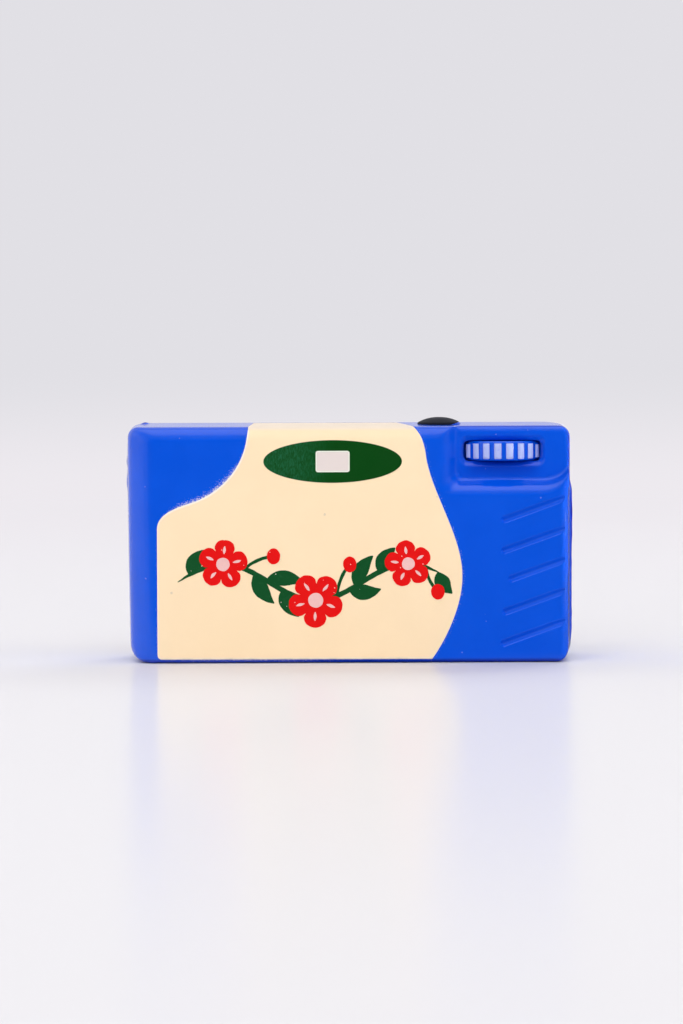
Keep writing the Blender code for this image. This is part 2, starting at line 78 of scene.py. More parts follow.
# Foam skin
SKIN_CELL = 0.38 * MM  # mesh size of the moulded skin
SIDE_DRAFT = 0.05
TOP_DRAFT = 0.03
UPPER_RIGHT_RADIUS = 2.8 * MM
UPPER_LEFT_RADIUS = 2.8 * MM
LOWER_LEFT_RADIUS = 4.5 * MM
LOWER_RIGHT_RADIUS = 3.2 * MM
LEFT_EDGE_RADIUS = 6.3 * MM
RIGHT_EDGE_RADIUS = 2.2 * MM
TOP_EDGE_RADIUS = 3.3 * MM
BASE_EDGE_RADIUS = 1.4 * MM
FIN_REACH = 0.5 * MM  # half the thickness of the fin that the mould leaves on its parting line
FIN_NIBS = (  # where bits of the fin still stand: x, z, reach and height, in mm
    (-57.0, 50.6, 1.2, 0.22),
    (-57.0, 45.4, 2.2, 0.22),
    (-52.6, 60.4, 1.0, 0.35),
    (-54.5, 1.2, 0.8, 0.30),
)
OVERCUT = 2.0 * MM  # how far cutters run past what they cut

# How the soft casting departs from its mould
LEFT_LEAN = 0.6 * MM  # of the left side's foot, inwards
LEFT_LEAN_REACH = 30 * MM
CORNER_REACH = 7 * MM  # of the slack at both upper corners
LEFT_CORNER_IN = 0.5 * MM
LEFT_CORNER_DOWN = 0.4 * MM
RIGHT_CORNER_DOWN = 0.5 * MM
DECK_SIDE_IN = 0.7 * MM  # of the right side beside the deck
GRIP_SIDE_IN = 0.5 * MM  # of the right side below the deck, at the back face
FIN_TRIMMED = 0.04  # the fin's height where it is cut close, in mm
FIN_RIGHT = 0.40  # what stands besides along the right side, in mm
FIN_FULLEST = 0.20  # and what more at one height there
FIN_FULLEST_AT = 36
FIN_RAGGED = 0.2  # how unevenly the fin was trimmed

# Sunken deck and wheel pocket
DECK_DEPTH = 3.6 * MM
DECK_LEFT = 28.0 * MM  # of the deck's floor
DECK_LOW = 46.8 * MM
DECK_START = 0.02 * MM  # thickness of the slice that the deck's cutter starts from
DECK_OPEN = 0.7 * MM  # how far the deck's cutter runs past the right side
DECK_CORNER_RADIUS = 2.2 * MM
DECK_SWEEP_RADIUS = 8.0 * MM
DECK_RAMP = (  # how far the ramp has run, in mm, and the share of the depth that it has climbed
    (0.3, 0.015),
    (0.55, 0.05),
    (0.8, 0.12),
    (1.05, 0.225),
    (1.3, 0.345),
    (1.6, 0.49),
    (1.9, 0.615),
    (2.2, 0.715),
    (2.5, 0.795),
    (2.8, 0.86),
    (3.1, 0.91),
    (3.4, 0.948),
    (3.7, 0.975),
    (4.0, 0.991),
    (4.35, 1.003),
)
DECK_WALL_SHARE = 1.3  # run of the wall beside the deck, as a share of the ramp's
DECK_RIM_RADIUS = 1.5 * MM
POCKET_STEPS = (  # depth, room beside the wheel and room above it, in mm, from floor to mouth
    (3.4, 0.0, 0.05),
    (2.2, 0.1, 0.08),
    (1.0, 0.4, 0.1),
    (0.0, 1.0, 1.35),
)
POCKET_CORNER_RADIUS = 1.3 * MM
MOVING_GAP = 0.09 * MM  # around the wheel and the button
WHEEL_SPACE_BEHIND = 3.4 * MM  # room behind the wheel's axis
WHEEL_SHADOW_STRENGTH = 0.62  # how dark the wheel's painted shadow makes the deck's floor right below the wheel
WHEEL_SHADOW_END = 44.5 * MM  # where that painted shadow ends
WHEEL_SHADOW_FULL, WHEEL_SHADOW_FADED = 6 * MM, 11.5 * MM  # its reach beside the wheel's axis

# Grip grooves, from the lowest
GROOVE_STARTS = (38.15, 38.65, 40.2, 38.4, 38.4)  # left end of each, in mm
GROOVE_END = 55.3  # right end of each, in mm
GROOVE_MIDDLE = 47.0 * MM
GROOVE_LOWEST = 7.9 * MM  # of the lowest groove, at the middle
GROOVE_PITCH = 7.82 * MM
GROOVE_ANGLE = math.radians(19.8)
GROOVE_WIDTH = 2.2 * MM
GROOVE_BELOW = 1.22 * MM  # the part of the width below its line
GROOVE_DEPTH = 0.7 * MM
GROOVE_TAPER = 0.7 * MM  # run of its shallow ends
GROOVE_STEPS = 20
GROOVE_LEAN = 1.18  # above 1, the deepest line lies nearer the lower lip

# Thumb wheel
WHEEL_RADIUS = 10.34 * MM  # over the bare ribs
NOTCH_DEPTH = 0.6 * MM
RIB_COUNT = 8
RIB_PITCH = math.radians(17.6)
RIB_PHASE = math.radians(1.4)  # how far the ribs' middle lies to the right of the wheel's
RIB_WIDTH = 1.8 * MM
STRIPE_HEIGHT = 4.05 * MM
OUTER_STRIPE_LOSS = 0.2  # how much shorter the first and last stripes are
STRIPE_DROP = 0.1 * MM
STRIPE_SPREAD = 1.05  # of the paint past a rib's own width
MASK_PROUD = 1.0 * MM  # how far a stripe's mask stands out from the wheel
MASK_DEPTH = 1.4 * MM
RIB_SHORTFALL = 0.9 * MM  # how much shorter than the wheel a rib is
RIB_ROOT = 1.8 * MM
WHEEL_TOP_ROUNDING = 0.45 * MM
WHEEL_LOW_ROUNDING = 0.6 * MM
FINE_CELL = 0.16 * MM  # mesh size of the wheel and the button
FINE_ROUNDS = 5

# Shutter button
BUTTON_SHOULDER = TOP_Z + 0.1 * MM
BUTTON_SINK = 0.2 * MM  # of the dome's crown below the solid's
DOME_SHARES = (0.96, 0.88, 0.75, 0.58, 0.38, 0.18)  # of the radius, ring by ring
DOME_POWER = 2.3  # the higher, the flatter the crown
PAINT_LINE = TOP_Z - 0.75 * MM
PAINT_MASK_TOP = TOP_Z + 9 * MM
PAINT_TURN = 0.30  # where the line starts to rise to the right, as a share of the radius
PAINT_RISE = 2.8 * MM  # at the mask's far end
WELL_ROOM = 1.8 * MM  # below the button

# Lens and flash
FRONT_ROOT = 0.5 * MM
BARREL_STEPS = ((1.5, 0.0), (0.3, -0.5), (1.0, 0.0), (0.6, -1.5))  # inset and move along Y, in mm
BARREL_ROUNDING = 0.35 * MM
GLASS_SHY = 3.75 * MM  # how much smaller its radius is than the barrel's
GLASS_SUNK = 2.1 * MM
GLASS_THICKNESS = 0.8 * MM
GLASS_STEPS = ((0.8, 0.42), (1.6, 0.42), (2.2, 0.28), (2.2, 0.10))  # as in BARREL_STEPS
GLASS_ROUNDING = 0.12 * MM
FLASH_ROOT = 0.4 * MM
FLASH_CORNER_RADIUS = 1.5 * MM
FLASH_EDGE_RADIUS = 0.4 * MM
FLASH_FRAME = 1.0 * MM
FLASH_SUNK = 0.2 * MM
PRISM_LINES = 9
PRISM_RADIUS = 0.35 * MM
PRISM_SINK = 0.15 * MM  # of a line's axis
PRISM_SIDE_MARGIN = 2.4 * MM
PRISM_END_MARGIN = 1.6 * MM

# Paint and print
COAT_PROUD = 0.06 * MM
COAT_ROOT = 0.04 * MM  # how far a coat reaches into what it lies on
PRINT_THICKNESS = 0.05 * MM
PRINT_ROOT = 0.02 * MM
BACK_WRAP = 19.0 * MM
FRONT_WRAP = 3.9 * MM
PANEL_DRAW_LEFT = 1.3 * MM  # how far the panel's sides draw in as it goes over the top
PANEL_DRAW_RIGHT = 4.5 * MM
WINDOW_CORNER = 0.6 * MM


# Handling of pieces


def choose(*pieces):
    """Makes these pieces the only selected ones, the first of them active."""
    bpy.ops.object.select_all(action="DESELECT")
    for piece in pieces:
        piece.select_set(True)
    bpy.context.view_layer.objects.active = pieces[0]


def settle(name):
    """Names the primitive just added and puts its place, turn and size into its mesh."""
    piece = bpy.context.object
    piece.name = name
    piece.data.name = name
    bpy.ops.object.transform_apply(location=True, rotation=True, scale=True)
    return piece


def add_block(name, low, high):
    low, high = Vector(low), Vector(high)
    bpy.ops.mesh.primitive_cube_add(size=1.0, location=(low + high) / 2)
    bpy.context.object.scale = high - low
    return settle(name)


def add_drum(name, radius, height, centre, turn=(0.0, 0.0, 0.0), sides=64):
    bpy.ops.mesh.primitive_cylinder_add(
        vertices=sides, radius=radius, depth=height, location=centre, rotation=turn
    )
    return settle(name)


def add_slab(name, outline, near_y, far_y):
    """A flat piece with an outline in X and Z, between two places along Y."""
    bpy.ops.mesh.primitive_circle_add(vertices=len(outline), fill_type="NGON")
    piece = settle(name)
    for point, (x, z) in zip(piece.data.vertices, outline):
        point.co = (x, near_y, z)
    with shaping(piece):
        bpy.ops.mesh.select_all(action="SELECT")
        draw_out((0.0, far_y - near_y, 0.0))
        bpy.ops.mesh.select_all(action="SELECT")
        bpy.ops.mesh.normals_make_consistent(inside=False)
    return piece


@contextlib.contextmanager
def shaping(piece):
    """Edit mode on one piece."""
    choose(piece)
    bpy.ops.object.mode_set(mode="EDIT")
    yield
    bpy.ops.object.mode_set(mode="OBJECT")


def pick(piece, kind, test):
    """In edit mode, selects the points, edges or faces whose corners all pass a test."""
    bpy.ops.mesh.select_mode(type=kind)
    bpy.ops.mesh.select_all(action="DESELECT")
    shape = bmesh.from_edit_mesh(piece.data)
    if kind == "VERT":
        for point in shape.verts:
            point.select_set(test(point.co))
    else:
        for part in shape.edges if kind == "EDGE" else shape.faces:
            part.select_set(all(test(point.co) for point in part.verts))
    shape.select_flush_mode()
    bmesh.update_edit_mesh(piece.data)


def pick_edges_along_y(piece):
    bpy.ops.mesh.select_mode(type="EDGE")
    bpy.ops.mesh.select_all(action="DESELECT")
    shape = bmesh.from_edit_mesh(piece.data)
    for edge in shape.edges:
        along = edge.verts[1].co - edge.verts[0].co
        edge.select_set(abs(along.y) > 0.99 * along.length)
    bmesh.update_edit_mesh(piece.data)


def picked_points(piece):
    return [p.co for p in bmesh.from_edit_mesh(piece.data).verts if p.select]


def near(value, target, room=1e-5):
    return abs(value - target) < room


def draw_out(distance):
    """Extrudes what is picked."""
    bpy.ops.mesh.extrude_region_move(TRANSFORM_OT_translate={"value": distance})


def round_picked(radius, steps=6):
    bpy.ops.mesh.bevel(offset=radius, segments=steps, affect="EDGES", profile=0.5)


def round_edges(piece, test, radius, steps=6):
    pick(piece, "EDGE", test)
    round_picked(radius, steps)


def finish_with(piece, kind, **settings):
    """Adds a modifier and applies it."""
    choose(piece)
    change = piece.modifiers.new(kind.lower(), kind)
    for setting, value in settings.items():
        setattr(change, setting, value)
    bpy.ops.object.modifier_apply(modifier=change.name)


def carve(piece, cutter, operation="DIFFERENCE"):
    """Cuts away, joins or keeps what a closed cutter covers, and uses the cutter up."""
    finish_with(piece, "BOOLEAN", object=cutter, operation=operation, solver="MANIFOLD")
    bpy.data.objects.remove(cutter)


def copy_of(piece, name):
    choose(piece)
    bpy.ops.object.duplicate()
    made = bpy.context.object
    made.name = name
    made.data.name = name
    return made


def swell(piece, distance):
    """Moves a closed surface outwards, or inwards where the distance is negative."""
    finish_with(piece, "DISPLACE", strength=distance, mid_level=0.0)


def film_over(name, covered, mask):
    """A thin closed coat over a piece, inside a mask that is used up."""
    film = copy_of(covered, name)
    swell(film, COAT_PROUD)
    carve(film, mask, "INTERSECT")
    core = copy_of(covered, f"{name}_core")
    swell(core, -COAT_ROOT)
    carve(film, core)
    return film


def soften(piece, cell, rounds):
    """Turns a piece into an even mesh of small faces and eases its edges, as moulding does."""
    finish_with(piece, "REMESH", mode="VOXEL", voxel_size=cell, adaptivity=0.0)
    finish_with(piece, "SMOOTH", factor=0.5, iterations=rounds)
    choose(piece)
    bpy.ops.object.shade_smooth()


def read_points(piece, what):
    """The places or the normals of a piece's points, a row each."""
    values = np.empty(len(piece.data.vertices) * 3, np.float32)
    piece.data.vertices.foreach_get(what, values)
    return values.reshape(-1, 3).astype(float)


def move_points(piece, points):
    piece.data.vertices.foreach_set("co", points.astype(np.float32).ravel())
    piece.data.update()


def mark(piece, name, values):
    """Keeps one number for each point of a piece, for its material."""
    layer = piece.data.attributes.new(name, "FLOAT", "POINT")
    layer.data.foreach_set("value", values.astype(np.float32))


def ease(values, start, end):
    """Runs smoothly from 0 at start to 1 at end."""
    share = np.clip((values - start) / (end - start), 0.0, 1.0)
    return share * share * (3 - 2 * share)


def smooth(piece, degrees=40):
    choose(piece)
    bpy.ops.object.shade_smooth_by_angle(angle=math.radians(degrees))


def hand_in(piece, body, material, slot, *nodes):
    """Gives a finished piece its paint, the body that it rides on and the nodes that it stands for."""
    piece.data.materials.clear()
    piece.data.materials.append(material)
    if body:
        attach(piece, body)
    if nodes:
        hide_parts(*nodes)


# Nodes of a material


def put(tree, kind, values=None, **settings):
    """Adds a node, with values for its input sockets by name and settings of its own."""
    made = tree.nodes.new(kind)
    for setting, value in settings.items():
        setattr(made, setting, value)
    for socket, value in (values or {}).items():
        feed(tree, value, made.inputs[socket])
    return made


def feed(tree, value, socket):
    """Links an output to a socket, or sets a plain value on it."""
    if isinstance(value, bpy.types.NodeSocket):
        tree.links.new(value, socket)
    else:
        socket.default_value = value


def sum_up(tree, operation, first, second=0.0, third=0.0):
    made = tree.nodes.new("ShaderNodeMath")
    made.operation = operation
    for socket, value in zip(made.inputs, (first, second, third)):
        feed(tree, value, socket)
    return made.outputs[0]


def both(tree, *masks):
    """The product of masks."""
    result = masks[0]
    for other in masks[1:]:
        result = sum_up(tree, "MULTIPLY", result, other)
    return result


def spread(tree, value, low, high, to_low=0.0, to_high=1.0):
    """Maps a range of values smoothly to another, and holds the ends."""
    made = put(tree, "ShaderNodeMapRange", interpolation_type="SMOOTHSTEP")
    for socket, number in zip(made.inputs, (value, low, high, to_low, to_high)):
        feed(tree, number, socket)
    return made.outputs[0]


def mix(tree, share, first, second):
    made = put(tree, "ShaderNodeMix", data_type="RGBA")
    feed(tree, share, made.inputs[0])
    feed(tree, first, made.inputs[6])
    feed(tree, second, made.inputs[7])
    return made.outputs[2]


def place_on(tree):
    """The piece's own coordinates, whole and apart."""
    whole = put(tree, "ShaderNodeTexCoord").outputs["Object"]
    return whole, put(tree, "ShaderNodeSeparateXYZ", {"Vector": whole}).outputs


def spot(tree, scale, detail=2.0, roughness=0.5, twist=0.0):
    """Noise from 0 to 1 over the piece's own coordinates."""
    values = {"Scale": scale, "Detail": detail, "Roughness": roughness, "Distortion": twist}
    values["Vector"] = place_on(tree)[0]
    return put(tree, "ShaderNodeTexNoise", values).outputs[0]


def any_number(tree, colour):
    """One even number from 0 to 1 out of a cell's random colour."""
    return put(tree, "ShaderNodeSeparateColor", {"Color": colour}).outputs[0]


def stored(tree, name):
    """A number that was marked on the piece's points."""
    return put(tree, "ShaderNodeAttribute", attribute_name=name).outputs["Fac"]


def new_group(name, inputs, outputs):
    """A shader node group. Inputs give their name and first value, outputs their names."""
    group = bpy.data.node_groups.new(name, "ShaderNodeTree")
    for label, value in inputs:
        socket = group.interface.new_socket(label, in_out="INPUT", socket_type="NodeSocketFloat")
        socket.default_value = value
    for label in outputs:
        group.interface.new_socket(label, in_out="OUTPUT", socket_type="NodeSocketFloat")
    given = group.nodes.new("NodeGroupInput").outputs
    results = group.nodes.new("NodeGroupOutput").inputs
    return group, given, results


def use_group(tree, group, **values):
    made = put(tree, "ShaderNodeGroup", node_tree=group)
    for label, value in values.items():
        feed(tree, value, made.inputs[label.replace("_", " ")])
    return made.outputs


def moulded_grain():
    """The close skin of moulded foam: orange peel, fine grain and scattered pinholes."""
    inputs = [("Peel Size", 900.0), ("Pinholes", 0.5)]
    group, given, results = new_group("moulded_grain", inputs, ["Height", "Mottle"])
    peel = spot(group, given["Peel Size"], 3.0, 0.55)
    grain = spot(group, 4200.0, 2.0, 0.6)
    cells = put(group, "ShaderNodeTexVoronoi", {"Vector": place_on(group)[0], "Scale": 420.0}).outputs
    hole = spread(group, cells["Distance"], 0.05, 0.14, 1.0, 0.0)
    chosen = sum_up(group, "GREATER_THAN", any_number(group, cells["Color"]), 0.7)
    pits = both(group, hole, chosen, given["Pinholes"])
    height = sum_up(group, "MULTIPLY_ADD", grain, 0.3, sum_up(group, "MULTIPLY", peel, 0.7))
    feed(group, sum_up(group, "SUBTRACT", height, pits), results["Height"])
    feed(group, spot(group, 95.0, 4.0, 0.6), results["Mottle"])
    return group


def stray_flecks():
    """Small specks of stray paint: where they are sparse and how big they are."""
    inputs = [("Scale", 350.0), ("Share", 0.25), ("Size", 0.07)]
    group, given, results = new_group("stray_flecks", inputs, ["Mask"])
    place = place_on(group)[0]
    ragged = put(group, "ShaderNodeTexNoise", {"Vector": place, "Scale": 1500.0, "Detail": 2.0})
    offset = put(group, "ShaderNodeVectorMath", operation="MULTIPLY_ADD")
    feed(group, ragged.outputs["Color"], offset.inputs[0])
    offset.inputs[1].default_value = (0.0005, 0.0005, 0.0005)
    feed(group, place, offset.inputs[2])
    values = {"Vector": offset.outputs[0], "Scale": given["Scale"]}
    cells = put(group, "ShaderNodeTexVoronoi", values).outputs
    chosen = sum_up(group, "LESS_THAN", any_number(group, cells["Color"]), given["Share"])
    inside = sum_up(group, "LESS_THAN", cells["Distance"], given["Size"])
    feed(group, both(group, chosen, inside), results["Mask"])
    return group


GRAIN = moulded_grain()
FLECKS = stray_flecks()

BLUE = (0.0005, 0.088, 0.72, 1.0)
DEEP_BLUE = (0.0004, 0.066, 0.60, 1.0)
NAVY = (0.001, 0.014, 0.35, 1.0)
CREAM = (0.97, 0.765, 0.512, 1.0)
WARM_CREAM = (0.91, 0.70, 0.45, 1.0)
PALE_CREAM = (0.94, 0.88, 0.80, 1.0)
GREY_CREAM = (0.42, 0.40, 0.37, 1.0)
TOP_SHADE_CREAM = (0.80, 0.70, 0.60, 1.0)
GREEN = (0.0008, 0.060, 0.0045, 1.0)
LIGHT_GREEN = (0.010, 0.125, 0.050, 1.0)
PALE_PINK = (0.77, 0.68, 0.645, 1.0)
PALE_RIM = (0.82, 0.88, 0.74, 1.0)
WHITE = (0.82, 0.82, 0.86, 1.0)
RIB_WHITE = (0.42, 0.475, 0.84, 1.0)
WORN_RIB = (0.20, 0.28, 0.84, 1.0)
GREY_WHITE = (0.72, 0.72, 0.77, 1.0)
BLACK = (0.010, 0.011, 0.018, 1.0)
SCUFFED_BLACK = (0.03, 0.032, 0.042, 1.0)
RED = (0.78, 0.002, 0.002, 1.0)
DEEP_RED = (0.66, 0.004, 0.005, 1.0)
LEAF_GREEN = (0.003, 0.078, 0.018, 1.0)
THIN_LEAF_GREEN = (0.02, 0.12, 0.04, 1.0)
PINK = (0.86, 0.52, 0.50, 1.0)
LIGHT_PINK = (0.90, 0.66, 0.60, 1.0)


def new_paint(name, roughness=0.5, specular=0.5):
    """A material with its shader, whose constant values sit on the shader itself."""
    material = bpy.data.materials.new(name)
    material.use_nodes = True
    tree = material.node_tree
    shader = tree.nodes["Principled BSDF"]
    shader.inputs["Roughness"].default_value = roughness
    shader.inputs["Specular IOR Level"].default_value = specular
    return material, tree, shader


def emboss(tree, shader, height, strength, distance=0.1 * MM):
    bump = put(tree, "ShaderNodeBump", {"Strength": strength, "Distance": distance, "Height": height})
    feed(tree, bump.outputs[0], shader.inputs["Normal"])


def vary_gloss(tree, shader, grain, low, high):
    feed(tree, spread(tree, grain["Mottle"], 0.2, 0.8, low, high), shader.inputs["Roughness"])


def blue_foam_paint():
    """Satin blue over moulded foam, dark on the mould's fin, with painted shade in its top and side creases,
    along its foot and below the wheel, and stray pale paint beside the panels.
    """
    material, tree, shader = new_paint("blue_foam_paint", specular=0.5)
    grain = use_group(tree, GRAIN, Peel_Size=1100.0, Pinholes=0.6)
    blotch = spread(tree, grain["Mottle"], 0.3, 0.75, 0.72, 1.0)
    body = mix(tree, blotch, DEEP_BLUE, BLUE)
    apart = place_on(tree)[1]
    near_back = spread(tree, apart["Y"], BACK_Y + 6.5 * MM, BACK_Y + 7.0 * MM, 1.0, 0.0)
    # painted shade: a dark line along the deck's top edge, where the crease lies in shade
    top_crease_shade = both(
        tree,
        near_back,
        spread(tree, apart["Z"], TOP_Z - 0.86 * MM, TOP_Z - 0.76 * MM),
        spread(tree, apart["Z"], TOP_Z - 0.60 * MM, TOP_Z - 0.52 * MM, 1.0, 0.0),
        spread(tree, apart["X"], DECK_LEFT - 2.0 * MM, DECK_LEFT + 1.0 * MM, 0.1, 0.5),
    )
    # painted shade: a dark line down the right side beside the deck
    side_crease_shade = both(
        tree,
        spread(tree, apart["X"], RIGHT_X - 1.4 * MM, RIGHT_X - 1.25 * MM, 0.0, 0.6),
        spread(tree, apart["Z"], DECK_LOW - 2.0 * MM, DECK_LOW),
    )
    # painted shade: the blue darkened toward navy along the bottom edge, for the contact shadow
    painted_base_shade = spread(tree, apart["Z"], 1.2 * MM, 0.5 * MM, 0.0, 0.75)
    dark = sum_up(tree, "MAXIMUM", sum_up(tree, "MAXIMUM", top_crease_shade, side_crease_shade), painted_base_shade)
    dark = sum_up(tree, "MAXIMUM", dark, stored(tree, "fin"))
    # painted shadow: the deck's floor below the wheel darkened to navy
    dark = sum_up(tree, "MAXIMUM", dark, stored(tree, "wheel_shade"))
    # mix in all the painted shade and the dark fin
    body = mix(tree, dark, body, NAVY)
    mist = stored(tree, "overspray")
    speckle = spot(tree, 4200.0, 2.0, 0.75)
    limit = sum_up(tree, "MULTIPLY_ADD", mist, -0.50, 0.72)
    dust = spread(tree, speckle, limit, sum_up(tree, "ADD", limit, 0.26))
    dust = both(tree, dust, spread(tree, mist, 0.02, 0.3, 0.0, 0.82))
    fleck = use_group(tree, FLECKS)["Mask"]
    cover = sum_up(tree, "MAXIMUM", dust, sum_up(tree, "MULTIPLY", fleck, 0.12))
    feed(tree, mix(tree, cover, body, PALE_CREAM), shader.inputs["Base Color"])
    vary_gloss(tree, shader, grain, 0.12, 0.17)
    emboss(tree, shader, grain["Height"], 0.12)
    return material


def cream_paint():
    """Sprayed cream with a painted highlight beside its edge, painted shade on its top and a greyer lower
    border.
    """
    material, tree, shader = new_paint("cream_paint", specular=0.08)
    grain = use_group(tree, GRAIN, Peel_Size=1300.0, Pinholes=0.3)
    body = mix(tree, spread(tree, grain["Mottle"], 0.3, 0.8, 0.7, 1.0), WARM_CREAM, CREAM)
    edge = stored(tree, "edge_distance")
    wobble = sum_up(tree, "MULTIPLY_ADD", spot(tree, 900.0), 0.3 * MM, edge)
    # painted highlight: a paler band just inside the cream's edge, where a raised paint edge catches the
    # light, stronger higher up
    edge_highlight_in = spread(tree, wobble, 0.05 * MM, 0.20 * MM, 0.0, 0.8)
    edge_highlight_out = spread(tree, wobble, 0.45 * MM, 0.80 * MM, 1.0, 0.0)
    height = place_on(tree)[1]["Z"]
    upper = spread(tree, height, 33 * MM, 41 * MM, 0.4, 1.0)
    body = mix(tree, both(tree, edge_highlight_in, edge_highlight_out, upper), body, PALE_CREAM)
    # the cream turns greyer toward the panel's foot
    low = sum_up(tree, "MULTIPLY_ADD", spot(tree, 500.0, 3.0), 0.8 * MM, height)
    greyer_foot = spread(tree, low, 0.9 * MM, 1.8 * MM, 0.75, 0.0)
    body = mix(tree, greyer_foot, body, GREY_CREAM)
    # painted shade: the top is painted a greyer cream, which keeps it down under the overhead lamp
    top = spread(tree, height, TOP_Z - 1.7 * MM, TOP_Z - 0.7 * MM, 0.0, 0.8)
    body = mix(tree, top, body, TOP_SHADE_CREAM)
    fleck = use_group(tree, FLECKS, Scale=150.0, Share=0.5, Size=0.05)["Mask"]
    body = mix(tree, sum_up(tree, "MULTIPLY", fleck, 0.35), body, GREY_CREAM)
    feed(tree, body, shader.inputs["Base Color"])
    vary_gloss(tree, shader, grain, 0.45, 0.58)
    emboss(tree, shader, grain["Height"], 0.15)
    return material


def green_print_paint():
    """Semi-gloss dark green, finely wrinkled and thinner on its left half."""
    material, tree, shader = new_paint("green_print", specular=0.25)
    grain = use_group(tree, GRAIN, Peel_Size=1500.0, Pinholes=0.2)
    apart = place_on(tree)[1]
    middle = (OVAL_LOW.x + OVAL_HIGH.x) / 2
    half = (OVAL_HIGH.x - OVAL_LOW.x) / 2
    left = spread(tree, apart["X"], middle + 0.1 * half, middle - 0.6 * half)
    streaked = put(tree, "ShaderNodeMapping", {"Vector": place_on(tree)[0], "Scale": (2.6, 1.0, 0.8)})
    streaked.inputs["Rotation"].default_value = (0.0, 0.6, 0.0)
    values = {"Scale": 1250.0, "Detail": 4.0, "Roughness": 0.6, "Distortion": 0.8}
    values["Vector"] = streaked.outputs[0]
    wrinkle = put(tree, "ShaderNodeTexNoise", values).outputs[0]
    thin = spread(tree, wrinkle, 0.40, 0.66, 0.1, 0.9)
    body = mix(tree, both(tree, thin, left), GREEN, LIGHT_GREEN)
    feed(tree, body, shader.inputs["Base Color"])
    vary_gloss(tree, shader, grain, 0.30, 0.42)
    emboss(tree, shader, both(tree, wrinkle, sum_up(tree, "MAXIMUM", left, 0.12)), 0.6, 0.25 * MM)
    return material


def plain_print(name, colour, second, roughness=0.45, flecks=0.0):
    """Matte pad print, a little thin in places, with pinholes that show the cream."""
    material, tree, shader = new_paint(name, specular=0.2)
    grain = use_group(tree, GRAIN, Peel_Size=1300.0, Pinholes=0.3)
    thin = spread(tree, spot(tree, 700.0, 4.0, 0.7), 0.5, 0.75, 0.0, 0.45)
    hole = use_group(tree, FLECKS, Scale=700.0, Share=flecks, Size=0.09)["Mask"]
    body = mix(tree, sum_up(tree, "MULTIPLY", hole, 0.7), mix(tree, thin, colour, second), PALE_CREAM)
    feed(tree, body, shader.inputs["Base Color"])
    vary_gloss(tree, shader, grain, roughness - 0.06, roughness + 0.06)
    emboss(tree, shader, grain["Height"], 0.15)
    return material


def window_print_paint():
    """Pale print with a lighter rim where the ink has gathered."""
    material, tree, shader = new_paint("window_print", 0.45, 0.2)
    apart = place_on(tree)[1]
    middle = (WINDOW_LOW + WINDOW_HIGH) / 2
    rims = []
    for axis, centre, half in (
        ("X", middle.x, WINDOW_HIGH.x - middle.x),
        ("Z", middle.z, WINDOW_HIGH.z - middle.z),
    ):
        away = sum_up(tree, "ABSOLUTE", sum_up(tree, "SUBTRACT", apart[axis], centre))
        rims.append(spread(tree, away, half - 0.32 * MM, half - 0.20 * MM))
    rim = sum_up(tree, "MAXIMUM", *rims)
    feed(tree, mix(tree, rim, PALE_PINK, PALE_RIM), shader.inputs["Base Color"])
    emboss(tree, shader, use_group(tree, GRAIN, Peel_Size=1300.0, Pinholes=0.3)["Height"], 0.15)
    return material


def rolled_white_paint():
    """White paint rolled over raised ribs, worn through to the blue at its edges."""
    material, tree, shader = new_paint("rolled_white", specular=0.2)
    grain = use_group(tree, GRAIN, Peel_Size=1500.0, Pinholes=0.3)
    worn = spread(tree, spot(tree, 900.0, 4.0, 0.7), 0.56, 0.74, 0.0, 0.5)
    feed(tree, mix(tree, worn, RIB_WHITE, WORN_RIB), shader.inputs["Base Color"])
    vary_gloss(tree, shader, grain, 0.42, 0.55)
    emboss(tree, shader, grain["Height"], 0.2)
    return material


def black_paint(name, roughness, specular):
    material, tree, shader = new_paint(name, specular=specular)
    grain = use_group(tree, GRAIN, Peel_Size=1200.0, Pinholes=0.4)
    scuffed = spread(tree, spot(tree, 420.0, 5.0, 0.7), 0.58, 0.78, 0.0, 0.5)
    feed(tree, mix(tree, scuffed, BLACK, SCUFFED_BLACK), shader.inputs["Base Color"])
    vary_gloss(tree, shader, grain, roughness - 0.06, roughness + 0.08)
    emboss(tree, shader, grain["Height"], 0.18)
    return material


BLUE_FOAM = blue_foam_paint()
CREAM_COAT = cream_paint()
GREEN_PRINT = green_print_paint()
WINDOW_PRINT = window_print_paint()
WHITE_RIBS = rolled_white_paint()
SATIN_BLACK = black_paint("satin_black", 0.5, 0.09)
GLOSS_BLACK = black_paint("gloss_black", 0.14, 0.5)
RED_PRINT = plain_print("red_print", RED, DEEP_RED, 0.4, 0.6)
LEAF_PRINT = plain_print("leaf_print", LEAF_GREEN, THIN_LEAF_GREEN, 0.42, 0.15)
PINK_PRINT = plain_print("pink_print", PINK, LIGHT_PINK, 0.42)
FLASH_WHITE = plain_print("flash_white", WHITE, GREY_WHITE, 0.3)


# Outline of the cream panels, as seen from the back


def curve(start, first, second, end, steps=24):
    """Points of a cubic curve, without its last one."""
    points = []
    for i in range(steps):
        t = i / steps
        weights = ((1 - t) ** 3, 3 * t * (1 - t) ** 2, 3 * t**2 * (1 - t), t**3)
        places = (start, first, second, end)
        points.append(tuple(sum(w * p[axis] for w, p in zip(weights, places)) for axis in (0, 1)))
    return points


def in_metres(points):
    return [(x * MM, z * MM) for x, z in points]


